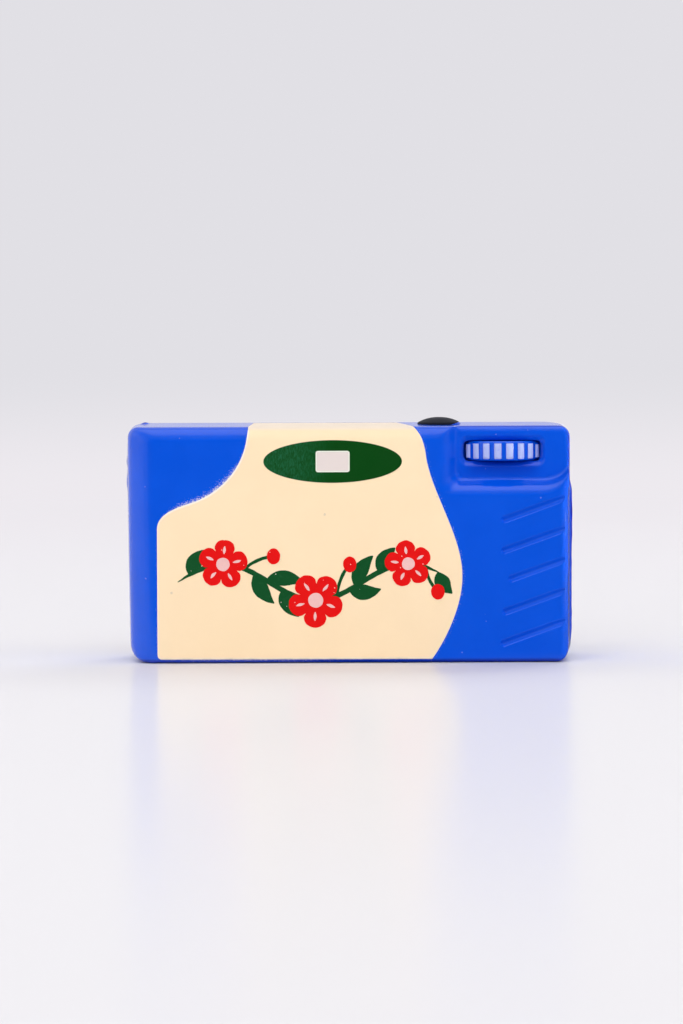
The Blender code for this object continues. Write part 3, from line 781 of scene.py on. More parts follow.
def panel_outline():
    """Anticlockwise from the foot of the right side. It runs past the top, where the coat goes over."""
    foot, belly, neck = (21.4, 0.9), (29.1, 21.9), (20.0, 52.0)
    top_right, top_left = (16.9, 60.4), (-25.7, 60.4)
    brow, shoulder = (-39.0, 41.1), (-48.8, 33.9)
    points = curve(foot, (25.0, 5.9), (29.1, 14.4), belly)
    points += curve(belly, (29.2, 31.9), (21.6, 42.5), neck)
    points += curve(neck, (19.75, 54.6), (19.1, 57.4), top_right)
    points += [top_right, (16.1, 63.4), (-25.2, 63.4)]
    points += curve(top_left, (-25.7, 50.9), (-31.5, 44.0), brow)
    points += curve(brow, (-43.7, 39.5), (-48.8, 38.2), shoulder)
    points += curve(shoulder, (-48.8, 20.0), (-48.8, 10.0), (-48.8, 2.1))
    points += curve((-48.8, 2.1), (-48.8, 1.4), (-48.3, 0.9), (-47.6, 0.9), 8)
    return in_metres(points)


PANEL = panel_outline()


def distance_to_panel(points):
    """How far points lie from the panel's outline in X and Z."""
    flat = points[:, [0, 2]]
    starts = np.array(PANEL)
    ends = np.roll(starts, -1, axis=0)
    best = np.full(len(flat), 1.0)
    for start, end in zip(starts, ends):
        along = end - start
        share = np.clip(((flat - start) @ along) / (along @ along), 0.0, 1.0)
        best = np.minimum(best, np.linalg.norm(flat - start - share[:, None] * along, axis=1))
    return best


# Foam casting


def body_block():
    """The casting's outer form: drafted from the parting line, with its own rounding on each side."""
    block = add_block("foam_skin", (LEFT_X, BACK_Y, BASE_Z), (RIGHT_X, FRONT_Y, TOP_Z))
    width, height = RIGHT_X - LEFT_X, TOP_Z - BASE_Z
    with shaping(block):
        bpy.ops.mesh.select_all(action="SELECT")
        bpy.ops.mesh.bisect(plane_co=(0.0, PARTING_Y, 0.0), plane_no=(0.0, 1.0, 0.0))
        for face_y in (BACK_Y, FRONT_Y):
            run = abs(face_y - PARTING_Y)
            pick(block, "VERT", lambda p: near(p.y, face_y))
            bpy.ops.transform.resize(
                value=(1 - 2 * SIDE_DRAFT * run / width, 1.0, 1 - TOP_DRAFT * run / height),
                center_override=(0.0, face_y, BASE_Z),
            )
        shape = bmesh.from_edit_mesh(block.data)
        weight = shape.edges.layers.float.new("bevel_weight_edge")
        for edge in shape.edges:
            edge[weight] = edge_radius(*edge.verts) / LEFT_EDGE_RADIUS
        bmesh.update_edit_mesh(block.data)
    finish_with(
        block,
        "BEVEL",
        width=LEFT_EDGE_RADIUS,
        segments=8,
        limit_method="WEIGHT",
        use_clamp_overlap=False,
    )
    return block


def edge_radius(first, second):
    """The rounding of one edge of the drafted block."""
    middle = (first.co + second.co) / 2
    high, left = middle.z > TOP_Z / 2, middle.x < 0
    if near(first.co.y, PARTING_Y) and near(second.co.y, PARTING_Y):
        return 0.0
    if not near(first.co.y, second.co.y):
        if left:
            return UPPER_LEFT_RADIUS if high else LOWER_LEFT_RADIUS
        return UPPER_RIGHT_RADIUS if high else LOWER_RIGHT_RADIUS
    if near(first.co.z, second.co.z):
        return TOP_EDGE_RADIUS if high else BASE_EDGE_RADIUS
    return LEFT_EDGE_RADIUS if left else RIGHT_EDGE_RADIUS


def deck_cutter():
    """The deck's floor outline, drawn out to the back face in steps that widen like a soft ramp."""
    floor_y = BACK_Y + DECK_DEPTH
    right, high = RIGHT_X + DECK_OPEN, TOP_Z + OVERCUT
    start_y = floor_y - DECK_START
    cutter = add_block("deck_cutter", (DECK_LEFT, start_y, DECK_LOW), (right, floor_y, high))
    width, height = right - DECK_LEFT, high - DECK_LOW
    with shaping(cutter):
        for x, radius, steps in ((DECK_LEFT, DECK_CORNER_RADIUS, 8), (right, DECK_SWEEP_RADIUS, 10)):
            round_edges(cutter, lambda p: near(p.x, x) and near(p.z, DECK_LOW), radius, steps)
        pick(cutter, "FACE", lambda p: near(p.y, start_y))
        last_y, last_width, last_height = start_y, width, height
        for run, share in DECK_RAMP + ((DECK_RAMP[-1][0], 1.0 + OVERCUT / DECK_DEPTH),):
            y = floor_y - share * DECK_DEPTH
            draw_out((0.0, y - last_y, 0.0))
            new_width = width + run * MM * DECK_WALL_SHARE
            new_height = height + run * MM
            bpy.ops.transform.resize(
                value=(new_width / last_width, 1.0, new_height / last_height),
                center_override=(right, y, high),
            )
            last_y, last_width, last_height = y, new_width, new_height
        bpy.ops.mesh.select_all(action="SELECT")
        bpy.ops.mesh.normals_make_consistent(inside=False)
    return cutter


def round_deck_rim(skin):
    """Rounds the deck's open edges, where its floor meets the top and the right side."""
    floor_y = BACK_Y + DECK_DEPTH
    with shaping(skin):
        bpy.ops.mesh.select_mode(type="EDGE")
        bpy.ops.mesh.select_all(action="DESELECT")
        shape = bmesh.from_edit_mesh(skin.data)
        for edge in shape.edges:
            edge.select_set(edge.is_convex and all(near(p.co.y, floor_y, 2e-5) for p in edge.verts))
        bmesh.update_edit_mesh(skin.data)
        round_picked(DECK_RIM_RADIUS, 5)


def pocket_cutter():
    """A funnel around the wheel, close to it at its floor and wider in its slanted lip."""
    mouth_y = BACK_Y + DECK_DEPTH
    floor_y = mouth_y + POCKET_STEPS[0][0] * MM
    reach = WHEEL_RADIUS + MOVING_GAP
    half_width = math.sqrt(reach**2 - (WHEEL_AXIS.y - floor_y) ** 2)
    half_height = (WHEEL_HIGH.z - WHEEL_LOW.z) / 2
    levels = []
    for depth, side, above in POCKET_STEPS:
        levels.append((mouth_y + depth * MM, half_width + side * MM, half_height + above * MM))
    levels.append((mouth_y - OVERCUT, levels[-1][1], levels[-1][2]))
    x, z = WHEEL_AXIS.x, WHEEL_AXIS.z
    (first_y, wide, tall), (last_y, *_) = levels[:2]
    cutter = add_block("pocket_cutter", (x - wide, last_y, z - tall), (x + wide, first_y, z + tall))
    with shaping(cutter):
        pick_edges_along_y(cutter)
        round_picked(POCKET_CORNER_RADIUS)
        pick(cutter, "FACE", lambda p: near(p.y, levels[1][0]))
        for y, wider, taller in levels[1:]:
            if y != last_y:
                draw_out((0.0, y - last_y, 0.0))
            bpy.ops.transform.resize(value=(wider / wide, 1.0, taller / tall), center_override=(x, y, z))
            last_y, wide, tall = y, wider, taller
    return cutter


def wheel_space_cutter():
    height = WHEEL_HIGH.z - WHEEL_LOW.z + 2 * MOVING_GAP
    cutter = add_drum("wheel_space", WHEEL_RADIUS + MOVING_GAP, height, WHEEL_AXIS, sides=128)
    with shaping(cutter):
        bpy.ops.mesh.select_all(action="SELECT")
        far = (WHEEL_AXIS.x, WHEEL_AXIS.y + WHEEL_SPACE_BEHIND, WHEEL_AXIS.z)
        bpy.ops.mesh.bisect(plane_co=far, plane_no=(0.0, 1.0, 0.0), clear_outer=True, use_fill=True)
    return cutter


def groove_cutter(index):
    """A bar sunk in the back face along one groove, with soft lips and shallow ends."""
    start, end = GROOVE_STARTS[index] * MM, GROOVE_END * MM
    half_length = (end - start) / 2 / math.cos(GROOVE_ANGLE) - GROOVE_TAPER
    section = [(GROOVE_WIDTH - GROOVE_BELOW, -OVERCUT), (-GROOVE_BELOW, -OVERCUT)]
    for i in range(GROOVE_STEPS + 1):
        share = i / GROOVE_STEPS
        depth = GROOVE_DEPTH * (1 - math.cos(2 * math.pi * share)) / 2
        section.append((GROOVE_WIDTH * share**GROOVE_LEAN - GROOVE_BELOW, depth))
    cutter = add_slab("groove_cutter", section, -half_length, half_length)
    with shaping(cutter):
        for side in (-1, 1):
            pick(cutter, "FACE", lambda p: near(p.y, side * half_length))
            draw_out((0.0, side * GROOVE_TAPER, -0.9 * GROOVE_DEPTH))
    middle_x = (start + end) / 2
    middle_z = GROOVE_LOWEST + index * GROOVE_PITCH + (middle_x - GROOVE_MIDDLE) * math.tan(GROOVE_ANGLE)
    along = Vector((math.cos(GROOVE_ANGLE), 0.0, math.sin(GROOVE_ANGLE)))
    across = Vector((-along.z, 0.0, along.x))
    inward = Vector((0.0, 1.0, 0.0))
    turned = Matrix((across, along, inward)).transposed().to_4x4()
    cutter.matrix_world = Matrix.Translation((middle_x, BACK_Y, middle_z)) @ turned
    choose(cutter)
    return settle("groove_cutter")


def button_well_cutter():
    middle = (CAP_LOW + CAP_HIGH) / 2
    radius = (CAP_HIGH.x - CAP_LOW.x) / 2 + MOVING_GAP
    floor = BUTTON_FOOT - WELL_ROOM
    height = TOP_Z + OVERCUT - floor
    return add_drum("button_well", radius, height, (middle.x, middle.y, floor + height / 2), sides=96)


def fin_height(points):
    """How far the mould's fin stands out: trimmed close, but fuller at the right and in a few nibs."""
    x, y, z = points.T
    right = ease(x, RIGHT_X - 3 * MM, RIGHT_X - 1 * MM)
    stretch = ease(z, 2 * MM, 8 * MM) * ease(z, 50 * MM, 44 * MM)
    fuller = FIN_RIGHT + FIN_FULLEST * np.exp(-(((z / MM) - FIN_FULLEST_AT) ** 2) / 40)
    height = FIN_TRIMMED + right * stretch * fuller
    for nib_x, nib_z, reach, rise in FIN_NIBS:
        apart = np.hypot(x / MM - nib_x, z / MM - nib_z)
        height += rise * np.exp(-((apart / reach) ** 2))
    height *= z > BASE_Z + 0.6 * MM
    return height * MM * np.clip(1 - np.abs(y - PARTING_Y) / FIN_REACH, 0.0, 1.0)


def press_out_of_true(skin):
    """The small departures of a soft casting: leaning sides, slack upper corners and the mould's fin."""
    points = read_points(skin, "co")
    x, y, z = points.T
    outward = read_points(skin, "normal") * (1.0, 0.0, 1.0)
    outward /= np.maximum(np.linalg.norm(outward, axis=1), 0.2)[:, None]
    fin = fin_height(points)
    ragged = np.array([noise.noise(Vector(p / (2.5 * MM))) if f else 0.0 for p, f in zip(points, fin)])
    moved = points + outward * (fin * (1 + FIN_RAGGED * ragged))[:, None]
    left = ease(x, LEFT_X + LEFT_LEAN_REACH, LEFT_X)
    moved[:, 0] += LEFT_LEAN * left * (1 - z / TOP_Z).clip(0.0) ** 1.8
    inward = ease(y, BACK_Y + 4 * MM, PARTING_Y - 2 * MM)
    upper = ease(z, TOP_Z - CORNER_REACH, TOP_Z)
    upper_left = ease(x, LEFT_X + CORNER_REACH, LEFT_X) * upper * inward
    moved[:, 0] += LEFT_CORNER_IN * upper_left
    moved[:, 2] -= LEFT_CORNER_DOWN * upper_left
    upper_right = ease(x, RIGHT_X - CORNER_REACH, RIGHT_X - 1 * MM) * upper * inward
    moved[:, 2] -= RIGHT_CORNER_DOWN * upper_right
    right = ease(x, RIGHT_X - 5 * MM, RIGHT_X - 1 * MM)
    moved[:, 0] -= DECK_SIDE_IN * right * ease(z, DECK_LOW - 4 * MM, DECK_LOW + 1 * MM) * inward
    below_deck = ease(z, DECK_LOW, DECK_LOW - 5 * MM)
    to_back = ((PARTING_Y - y) / (PARTING_Y - BACK_Y)).clip(0.0)
    moved[:, 0] -= GRIP_SIDE_IN * right * below_deck * to_back
    move_points(skin, moved)


def painted_shadow_below_wheel(points):
    """Painted shadow of the wheel: the blue darkened on the deck's floor below the wheel, most close to it.
    """
    x, y, z = points.T
    beside = ease(np.abs(x - WHEEL_AXIS.x), WHEEL_SHADOW_FADED, WHEEL_SHADOW_FULL)
    below = ease(z, WHEEL_SHADOW_END, WHEEL_LOW.z) * ease(z, WHEEL_LOW.z + 0.6 * MM, WHEEL_LOW.z)
    sunken = ease(y, BACK_Y + 1.6 * MM, BACK_Y + 2.6 * MM) * (y < BACK_Y + 8 * MM)
    return WHEEL_SHADOW_STRENGTH * beside * below * sunken


def make_foam_skin():
    """One closed foam skin for the whole casting."""
    skin = body_block()
    carve(skin, deck_cutter())
    round_deck_rim(skin)
    carve(skin, pocket_cutter())
    soften(skin, SKIN_CELL, 3)
    press_out_of_true(skin)
    carve(skin, wheel_space_cutter())
    carve(skin, button_well_cutter())
    for i in range(len(GROOVE_STARTS)):
        carve(skin, groove_cutter(i))
    smooth(skin, 30)
    points = read_points(skin, "co")
    mark(skin, "fin", ease(fin_height(points), 0.06 * MM, 0.18 * MM))
    # the wheel's shadow on the deck's floor, painted into the blue
    mark(skin, "wheel_shade", painted_shadow_below_wheel(points))
    return skin


def mark_overspray(skin):
    """Where pale paint drifted past the panel's mask: most beside its upper left curve and its foot."""
    points = read_points(skin, "co")
    x, y, z = points.T
    apart = distance_to_panel(points)
    brow = ease(x, -50 * MM, -40 * MM) * ease(x, -26 * MM, -32 * MM) * ease(z, 35 * MM, 40 * MM)
    amount = 0.75 * brow * np.exp(-apart / (1.2 * MM))
    amount += 0.4 * (1 - brow) * np.exp(-apart / (0.4 * MM))
    foot = ease(z, 1.3 * MM, 0.7 * MM) * ease(x, -48 * MM, -38 * MM) * ease(x, 4 * MM, -12 * MM)
    amount += 0.2 * foot
    mark(skin, "overspray", amount * (y < BACK_Y + 6 * MM))


# Sprayed panels


def sprayed_coat(name, skin, near_y, far_y, draw_left, draw_right):
    """A cream coat inside the panel's outline, whose sides draw in as it goes over the top."""
    mask = add_slab(f"{name}_mask", PANEL, near_y, far_y)
    with shaping(mask):
        pick(mask, "VERT", lambda p: near(p.y, far_y) and p.x < 0)
        bpy.ops.transform.translate(value=(draw_left, 0.0, 0.0))
        pick(mask, "VERT", lambda p: near(p.y, far_y) and p.x > 0)
        bpy.ops.transform.translate(value=(-draw_right, 0.0, 0.0))
    film = film_over(name, skin, mask)
    mark(film, "edge_distance", distance_to_panel(read_points(film, "co")))
    smooth(film)
    return film


def make_panels(skin):
    draws = (PANEL_DRAW_LEFT, PANEL_DRAW_RIGHT)
    back = sprayed_coat("cream_coat", skin, BACK_Y - OVERCUT, BACK_Y + BACK_WRAP, *draws)
    hand_in(back, "back", CREAM_COAT, "cream_paint", "cream_panel")
    front = sprayed_coat("front_cream_coat", skin, FRONT_Y + OVERCUT, FRONT_Y - FRONT_WRAP, 0.0, 0.0)
    hand_in(front, "front", CREAM_COAT, "cream_paint", "front_panel")


# Viewfinder


def ellipse(centre, half, sides=96):
    turns = [2 * math.pi * i / sides for i in range(sides)]
    return [(centre[0] + half[0] * math.cos(t), centre[1] + half[1] * math.sin(t)) for t in turns]


def rounded_box(low, high, radius, steps=6):
    corners = ((high[0], high[1], -1, -1), (low[0], high[1], 1, -1))
    corners += ((low[0], low[1], 1, 1), (high[0], low[1], -1, 1))
    points = []
    for quarter, (x, z, inward_x, inward_z) in enumerate(corners):
        middle = (x + inward_x * radius, z + inward_z * radius)
        for i in range(steps + 1):
            turn = (quarter + i / steps) * math.pi / 2
            points.append((middle[0] + radius * math.cos(turn), middle[1] + radius * math.sin(turn)))
    return points


def make_viewfinder():
    centre = (OVAL_LOW.xz + OVAL_HIGH.xz) / 2
    half = (OVAL_HIGH.xz - OVAL_LOW.xz) / 2
    surface = BACK_Y - COAT_PROUD
    outline = ellipse(centre, half)
    oval = add_slab("viewfinder_oval_print", outline, surface - PRINT_THICKNESS, surface + PRINT_ROOT)
    hand_in(oval, "back", GREEN_PRINT, "green_print", "viewfinder_oval")
    surface -= PRINT_THICKNESS
    outline = rounded_box(WINDOW_LOW.xz, WINDOW_HIGH.xz, WINDOW_CORNER)
    window = add_slab("viewfinder_window_print", outline, surface - PRINT_THICKNESS, surface + PRINT_ROOT)
    hand_in(window, "back", WINDOW_PRINT, "window_print", "viewfinder_window")
    outline = rounded_box(FRONT_WINDOW_LOW.xz, FRONT_WINDOW_HIGH.xz, WINDOW_CORNER)
    surface = FRONT_Y + COAT_PROUD
    front = add_slab("front_window_print", outline, surface - PRINT_ROOT, surface + PRINT_THICKNESS)
    hand_in(front, "front", WINDOW_PRINT, "window_print", "front_window")


# Garland printed on the panel: sizes in mm on the back face

BRUSH_SEED = 7  # so that the brush shakes alike in every run
VINE_HEIGHT = 20.5
VINE_SWING = 4.6
VINE_WAVE = 2 * math.pi / 47.0
VINE_CREST = -32.0  # where its first wave is highest
VINE_START = -43.5
VINE_LENGTH = 66.5
VINE_STEPS = 70
SPRIG_STEPS = 14
LEAF_WIDTH = 3.7
LEAF_ANGLE = 0.85  # between a leaf's foot and the vine
STALK_ANGLE = 1.15
STALK_WIDTH = 0.8
PETALS = 5
EYE_SHARE = 0.27  # of a flower's radius
FLECK_START = 0.42  # of a petal's pale fleck, as a share of the radius
FLECK_LENGTH = 0.32
FLECK_STEPS = 6
BUD_HALF = (1.7, 2.0)
FLOWERS = ((-32.0, 6.3, 0.2), (-8.5, 7.0, 0.9), (15.0, 6.0, 0.5))  # x on the vine, radius and turn
LEAVES = (  # x on the vine, side, length
    (-40.5, 1, 7.5),
    (-24.0, -1, 9.0),
    (-21.0, 1, 9.5),
    (-17.0, -1, 8.0),
    (1.5, 1, 9.0),
    (0.0, -1, 8.0),
    (7.5, 1, 7.5),
    (22.5, -1, 6.5),
)
BUDS = ((-26.5, 1, 8.0), (-3.0, 1, 8.5), (19.5, -1, 7.0))  # x on the vine, side, length of stalk


def vine_at(x):
    """The vine's place and its direction."""
    phase = VINE_WAVE * (x - VINE_CREST)
    place = Vector((x, VINE_HEIGHT + VINE_SWING * math.cos(phase)))
    slope = -VINE_SWING * VINE_WAVE * math.sin(phase)
    return place, Vector((1.0, slope)).normalized()


def shaky(points, amount=0.1):
    """Moves points a little, as a brush does."""
    moved = []
    for x, z in points:
        wobble = noise.noise_vector(Vector((x, z, 0.0)) * 0.9) * amount
        moved.append((x + wobble.x, z + wobble.y))
    return moved


def brush_stroke(path, widths):
    """The outline of a stroke along a path, with a width at each of its points."""
    sides = []
    for side in (1, -1):
        edge = []
        for i, (point, width) in enumerate(zip(path, widths)):
            along = (path[min(i + 1, len(path) - 1)] - path[max(i - 1, 0)]).normalized()
            edge.append(point + side * width / 2 * Vector((-along.y, along.x)))
        sides.append(edge)
    return shaky([tuple(p) for p in sides[0] + sides[1][::-1]])


def sprig_path(x, side, length, spread_angle):
    """A path that leaves the vine to one side and curls a little."""
    start, along = vine_at(x)
    path = []
    for i in range(SPRIG_STEPS + 1):
        share = i / SPRIG_STEPS
        turn = side * (spread_angle - 0.35 * share)
        heading = Vector((math.cos(turn), math.sin(turn)))
        across = along.x * heading.x - along.y * heading.y
        up = along.x * heading.y + along.y * heading.x
        path.append(start + Vector((across, up)) * length * share)
    return path


def flower_outline(centre, radius, turn, sides=120):
    points = []
    for i in range(sides):
        angle = 2 * math.pi * i / sides
        reach = radius * (0.60 + 0.40 * abs(math.cos(PETALS / 2 * angle)) ** 0.5)
        x = centre.x + reach * math.cos(angle + turn)
        points.append((x, centre.y + reach * math.sin(angle + turn)))
    return shaky(points, 0.14)


def add_print(name, outline, bottom, thickness):
    return add_slab(name, in_metres(outline), bottom - thickness, bottom + PRINT_ROOT)


def join_all(pieces, name):
    choose(*pieces)
    bpy.ops.object.join()
    return settle(name)


def make_garland():
    """A waving vine with leaves, three five-petalled flowers and buds."""
    noise.seed_set(BRUSH_SEED)
    surface = BACK_Y - COAT_PROUD
    stretch = [VINE_START + VINE_LENGTH * i / VINE_STEPS for i in range(VINE_STEPS + 1)]
    path = [vine_at(x)[0] for x in stretch]
    widths = [0.2 + 1.1 * min(1.0, i / 6, (VINE_STEPS - i) / 6) for i in range(VINE_STEPS + 1)]
    vine = add_print("vine_print", brush_stroke(path, widths), surface, PRINT_THICKNESS)
    strokes = []
    for x, side, length in LEAVES:
        leaf = sprig_path(x, side, length, LEAF_ANGLE)
        shares = [i / SPRIG_STEPS for i in range(SPRIG_STEPS + 1)]
        widths = [LEAF_WIDTH * math.sin(math.pi * share**0.85) + 0.25 for share in shares]
        strokes.append(brush_stroke(leaf, widths))
    for x, side, length in BUDS:
        stalk = sprig_path(x, side, length, STALK_ANGLE)
        strokes.append(brush_stroke(stalk, [STALK_WIDTH] * len(stalk)))
    for i, stroke in enumerate(strokes):
        thickness = PRINT_THICKNESS * (0.9 - 0.02 * i)
        carve(vine, add_print("stroke", stroke, surface, thickness), "UNION")
    hand_in(vine, "back", LEAF_PRINT, None)

    petals, eyes = [], []
    red_thickness = 1.5 * PRINT_THICKNESS
    for x, radius, turn in FLOWERS:
        centre = vine_at(x)[0]
        outline = flower_outline(centre, radius, turn)
        petals.append(add_print("petals", outline, surface, red_thickness))
        eye = shaky(ellipse(centre, (EYE_SHARE * radius, EYE_SHARE * radius), 40))
        eyes.append(add_print("eye", eye, surface - red_thickness, PRINT_THICKNESS))
        for i in range(PETALS):
            angle = turn + 2 * math.pi * i / PETALS
            ray = Vector((math.cos(angle), math.sin(angle)))
            mark_path, widths = [], []
            for k in range(FLECK_STEPS + 1):
                mark_path.append(centre + ray * radius * (FLECK_START + FLECK_LENGTH * k / FLECK_STEPS))
                widths.append(0.15 + 0.6 * math.sin(math.pi * k / FLECK_STEPS))
            stroke = brush_stroke(mark_path, widths)
            eyes.append(add_print("fleck", stroke, surface - red_thickness, PRINT_THICKNESS))
    for x, side, length in BUDS:
        tip = sprig_path(x, side, length, STALK_ANGLE)[-1]
        petals.append(add_print("bud", shaky(ellipse(tip, BUD_HALF, 32)), surface, red_thickness))
    hand_in(join_all(petals, "flower_print"), "back", RED_PRINT, None)
    hand_in(join_all(eyes, "flower_eye_print"), "back", PINK_PRINT, None)


# Thumb wheel


def rib_turns():
    return [RIB_PHASE + (i - (RIB_COUNT - 1) / 2) * RIB_PITCH for i in range(RIB_COUNT)]


def bar_at(name, turn, width, height, reach, depth, drop=0.0):
    """An upright bar across the wheel's rim, at one of its ribs, with its long edges rounded."""
    low, high = -height / 2 - drop, height / 2 - drop
    bar = add_block(name, (-width / 2, -reach, low), (width / 2, depth - reach, high))
    with shaping(bar):
        round_edges(bar, lambda p: near(p.y, -reach), 0.3 * min(width, height), 4)
    bar.rotation_euler = (0.0, 0.0, turn)
    bar.location = WHEEL_AXIS
    choose(bar)
    return settle(name)


def make_wheel():
    """The moulded wheel, a notched drum cut off behind its axis, and the white paint on each rib."""
    low, high = WHEEL_LOW.z, WHEEL_HIGH.z
    height = high - low
    wheel = add_drum("thumb_wheel_foam", WHEEL_RADIUS - NOTCH_DEPTH, height, WHEEL_AXIS, sides=96)
    with shaping(wheel):
        round_edges(wheel, lambda p: near(p.z, high), WHEEL_TOP_ROUNDING, 5)
        round_edges(wheel, lambda p: near(p.z, low), WHEEL_LOW_ROUNDING, 5)
    for turn in rib_turns():
        rib = bar_at("rib", turn, RIB_WIDTH, height - RIB_SHORTFALL, WHEEL_RADIUS, RIB_ROOT)
        carve(wheel, rib, "UNION")
    with shaping(wheel):
        bpy.ops.mesh.select_all(action="SELECT")
        behind = (WHEEL_AXIS.x, WHEEL_HIGH.y, WHEEL_AXIS.z)
        bpy.ops.mesh.bisect(plane_co=behind, plane_no=(0.0, 1.0, 0.0), clear_outer=True, use_fill=True)
    soften(wheel, FINE_CELL, FINE_ROUNDS)
    for i, turn in enumerate(rib_turns()):
        width, reach = RIB_WIDTH * STRIPE_SPREAD, WHEEL_RADIUS + MASK_PROUD
        height = STRIPE_HEIGHT * (1 - OUTER_STRIPE_LOSS * (turn / rib_turns()[-1]) ** 4)
        band = bar_at("stripe_mask", turn, width, height, reach, MASK_DEPTH, STRIPE_DROP)
        stripe = film_over(f"rib_paint_{i + 1}", wheel, band)
        smooth(stripe)
        hand_in(stripe, "wheel", WHITE_RIBS, "white_paint", f"wheel_stripe_{i + 1}")
    hand_in(wheel, "wheel", BLUE_FOAM, "blue_foam", "thumb_wheel")


# Shutter button


def make_button():
    """A low dome, painted black but for a sliver of its rim at the right."""
    middle = (CAP_LOW + CAP_HIGH) / 2
    radius = (CAP_HIGH.x - CAP_LOW.x) / 2 - COAT_PROUD
    shoulder, crown = BUTTON_SHOULDER, CAP_HIGH.z - COAT_PROUD - BUTTON_SINK
    centre = Vector((middle.x, middle.y, (BUTTON_FOOT + shoulder) / 2))
    button = add_drum("shutter_button_foam", radius, shoulder - BUTTON_FOOT, centre, sides=72)
    with shaping(button):
        pick(button, "FACE", lambda p: near(p.z, shoulder))
        last_share, last_z = 1.0, shoulder
        for share in DOME_SHARES:
            bpy.ops.mesh.extrude_region_move()
            grow = share / last_share
            rise = shoulder + (crown - shoulder) * (1 - share**DOME_POWER) - last_z
            ring = (centre.x, centre.y, last_z)
            bpy.ops.transform.resize(value=(grow, grow, 1.0), center_override=ring)
            bpy.ops.transform.translate(value=(0.0, 0.0, rise))
            last_share, last_z = share, last_z + rise
        bpy.ops.mesh.poke()
        pick(button, "VERT", lambda p: near(p.x, centre.x) and near(p.y, centre.y) and p.z > shoulder)
        bpy.ops.transform.translate(value=(0.0, 0.0, crown - picked_points(button)[0].z))
    soften(button, FINE_CELL, FINE_ROUNDS)
    low = (centre.x - 2 * radius, centre.y - 2 * radius, PAINT_LINE)
    high = (centre.x + 2 * radius, centre.y + 2 * radius, PAINT_MASK_TOP)
    mask = add_block("paint_line", low, high)
    with shaping(mask):
        bpy.ops.mesh.select_all(action="SELECT")
        turn_up = (centre.x + PAINT_TURN * radius, centre.y, PAINT_LINE)
        bpy.ops.mesh.bisect(plane_co=turn_up, plane_no=(1.0, 0.0, 0.0))
        pick(mask, "VERT", lambda p: near(p.x, high[0]) and near(p.z, PAINT_LINE))
        bpy.ops.transform.translate(value=(0.0, 0.0, PAINT_RISE))
    film = film_over("button_paint", button, mask)
    smooth(film)
    hand_in(button, "button", BLUE_FOAM, "blue_foam", "shutter_button")
    hand_in(film, "button", SATIN_BLACK, "black_paint", "button_cap")


# Lens and flash on the front


def step_in(thickness, depth):
    """Insets the chosen front face and moves it along Y."""
    bpy.ops.mesh.inset(thickness=thickness)
    bpy.ops.transform.translate(value=(0.0, depth, 0.0))


def round_crisp(piece, radius, steps):
    """Rounds every edge that is sharper than 30 degrees."""
    crisp = math.radians(30)
    finish_with(piece, "BEVEL", width=radius, segments=steps, limit_method="ANGLE", angle_limit=crisp)


def make_lens():
    """A stepped barrel with a domed glass sunk in it."""
    middle = (LENS_LOW + LENS_HIGH) / 2
    radius = (LENS_HIGH.x - LENS_LOW.x) / 2
    rim_y = LENS_HIGH.y
    base_y = FRONT_Y - FRONT_ROOT
    turned = (math.pi / 2, 0.0, 0.0)
    centre = (middle.x, (rim_y + base_y) / 2, middle.z)
    barrel = add_drum("lens_barrel_foam", radius, rim_y - base_y, centre, turned, 96)
    with shaping(barrel):
        pick(barrel, "FACE", lambda p: near(p.y, rim_y))
        for thickness, rise in BARREL_STEPS:
            step_in(thickness * MM, rise * MM)
        bpy.ops.mesh.select_all(action="SELECT")
        bpy.ops.mesh.normals_make_consistent(inside=False)
    round_crisp(barrel, BARREL_ROUNDING, 4)
    smooth(barrel)
    hand_in(barrel, "front", SATIN_BLACK, "black_paint", "lens_barrel")
    seat_y = rim_y - GLASS_SUNK
    centre = (middle.x, seat_y + GLASS_THICKNESS / 4, middle.z)
    glass = add_drum("lens_glass_dome", radius - GLASS_SHY, GLASS_THICKNESS, centre, turned, 96)
    with shaping(glass):
        pick(glass, "FACE", lambda p: near(p.y, centre[1] + GLASS_THICKNESS / 2))
        for thickness, rise in GLASS_STEPS:
            step_in(thickness * MM, rise * MM)
    round_crisp(glass, GLASS_ROUNDING, 2)
    smooth(glass, 60)
    hand_in(glass, "front", GLOSS_BLACK, "lens_gloss", "lens_glass")


def make_flash():
    """A raised flash window with upright prism lines across its face."""
    low, high = FLASH_LOW, FLASH_HIGH
    flash = add_block("flash_panel", (low.x, FRONT_Y - FLASH_ROOT, low.z), high)
    with shaping(flash):
        pick_edges_along_y(flash)
        round_picked(FLASH_CORNER_RADIUS)
        round_edges(flash, lambda p: near(p.y, high.y), FLASH_EDGE_RADIUS, 4)
        pick(flash, "FACE", lambda p: near(p.y, high.y))
        step_in(FLASH_FRAME, -FLASH_SUNK)
    height = high.z - low.z - 2 * PRISM_END_MARGIN
    room = high.x - low.x - 2 * PRISM_SIDE_MARGIN
    for i in range(PRISM_LINES):
        x = low.x + PRISM_SIDE_MARGIN + room * i / (PRISM_LINES - 1)
        place = (x, high.y - PRISM_SINK, (low.z + high.z) / 2)
        carve(flash, add_drum("prism_line", PRISM_RADIUS, height, place, sides=8))
    smooth(flash, 35)
    hand_in(flash, "front", FLASH_WHITE, "white_paint", "flash_window")


skin = make_foam_skin()
make_panels(skin)
mark_overspray(skin)
hand_in(skin, None, BLUE_FOAM, "blue_foam", "back_foam", "foam_core", "front_foam")
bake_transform(skin)
make_viewfinder()
make_garland()
make_wheel()
make_button()
make_lens()
make_flash()


# Studio

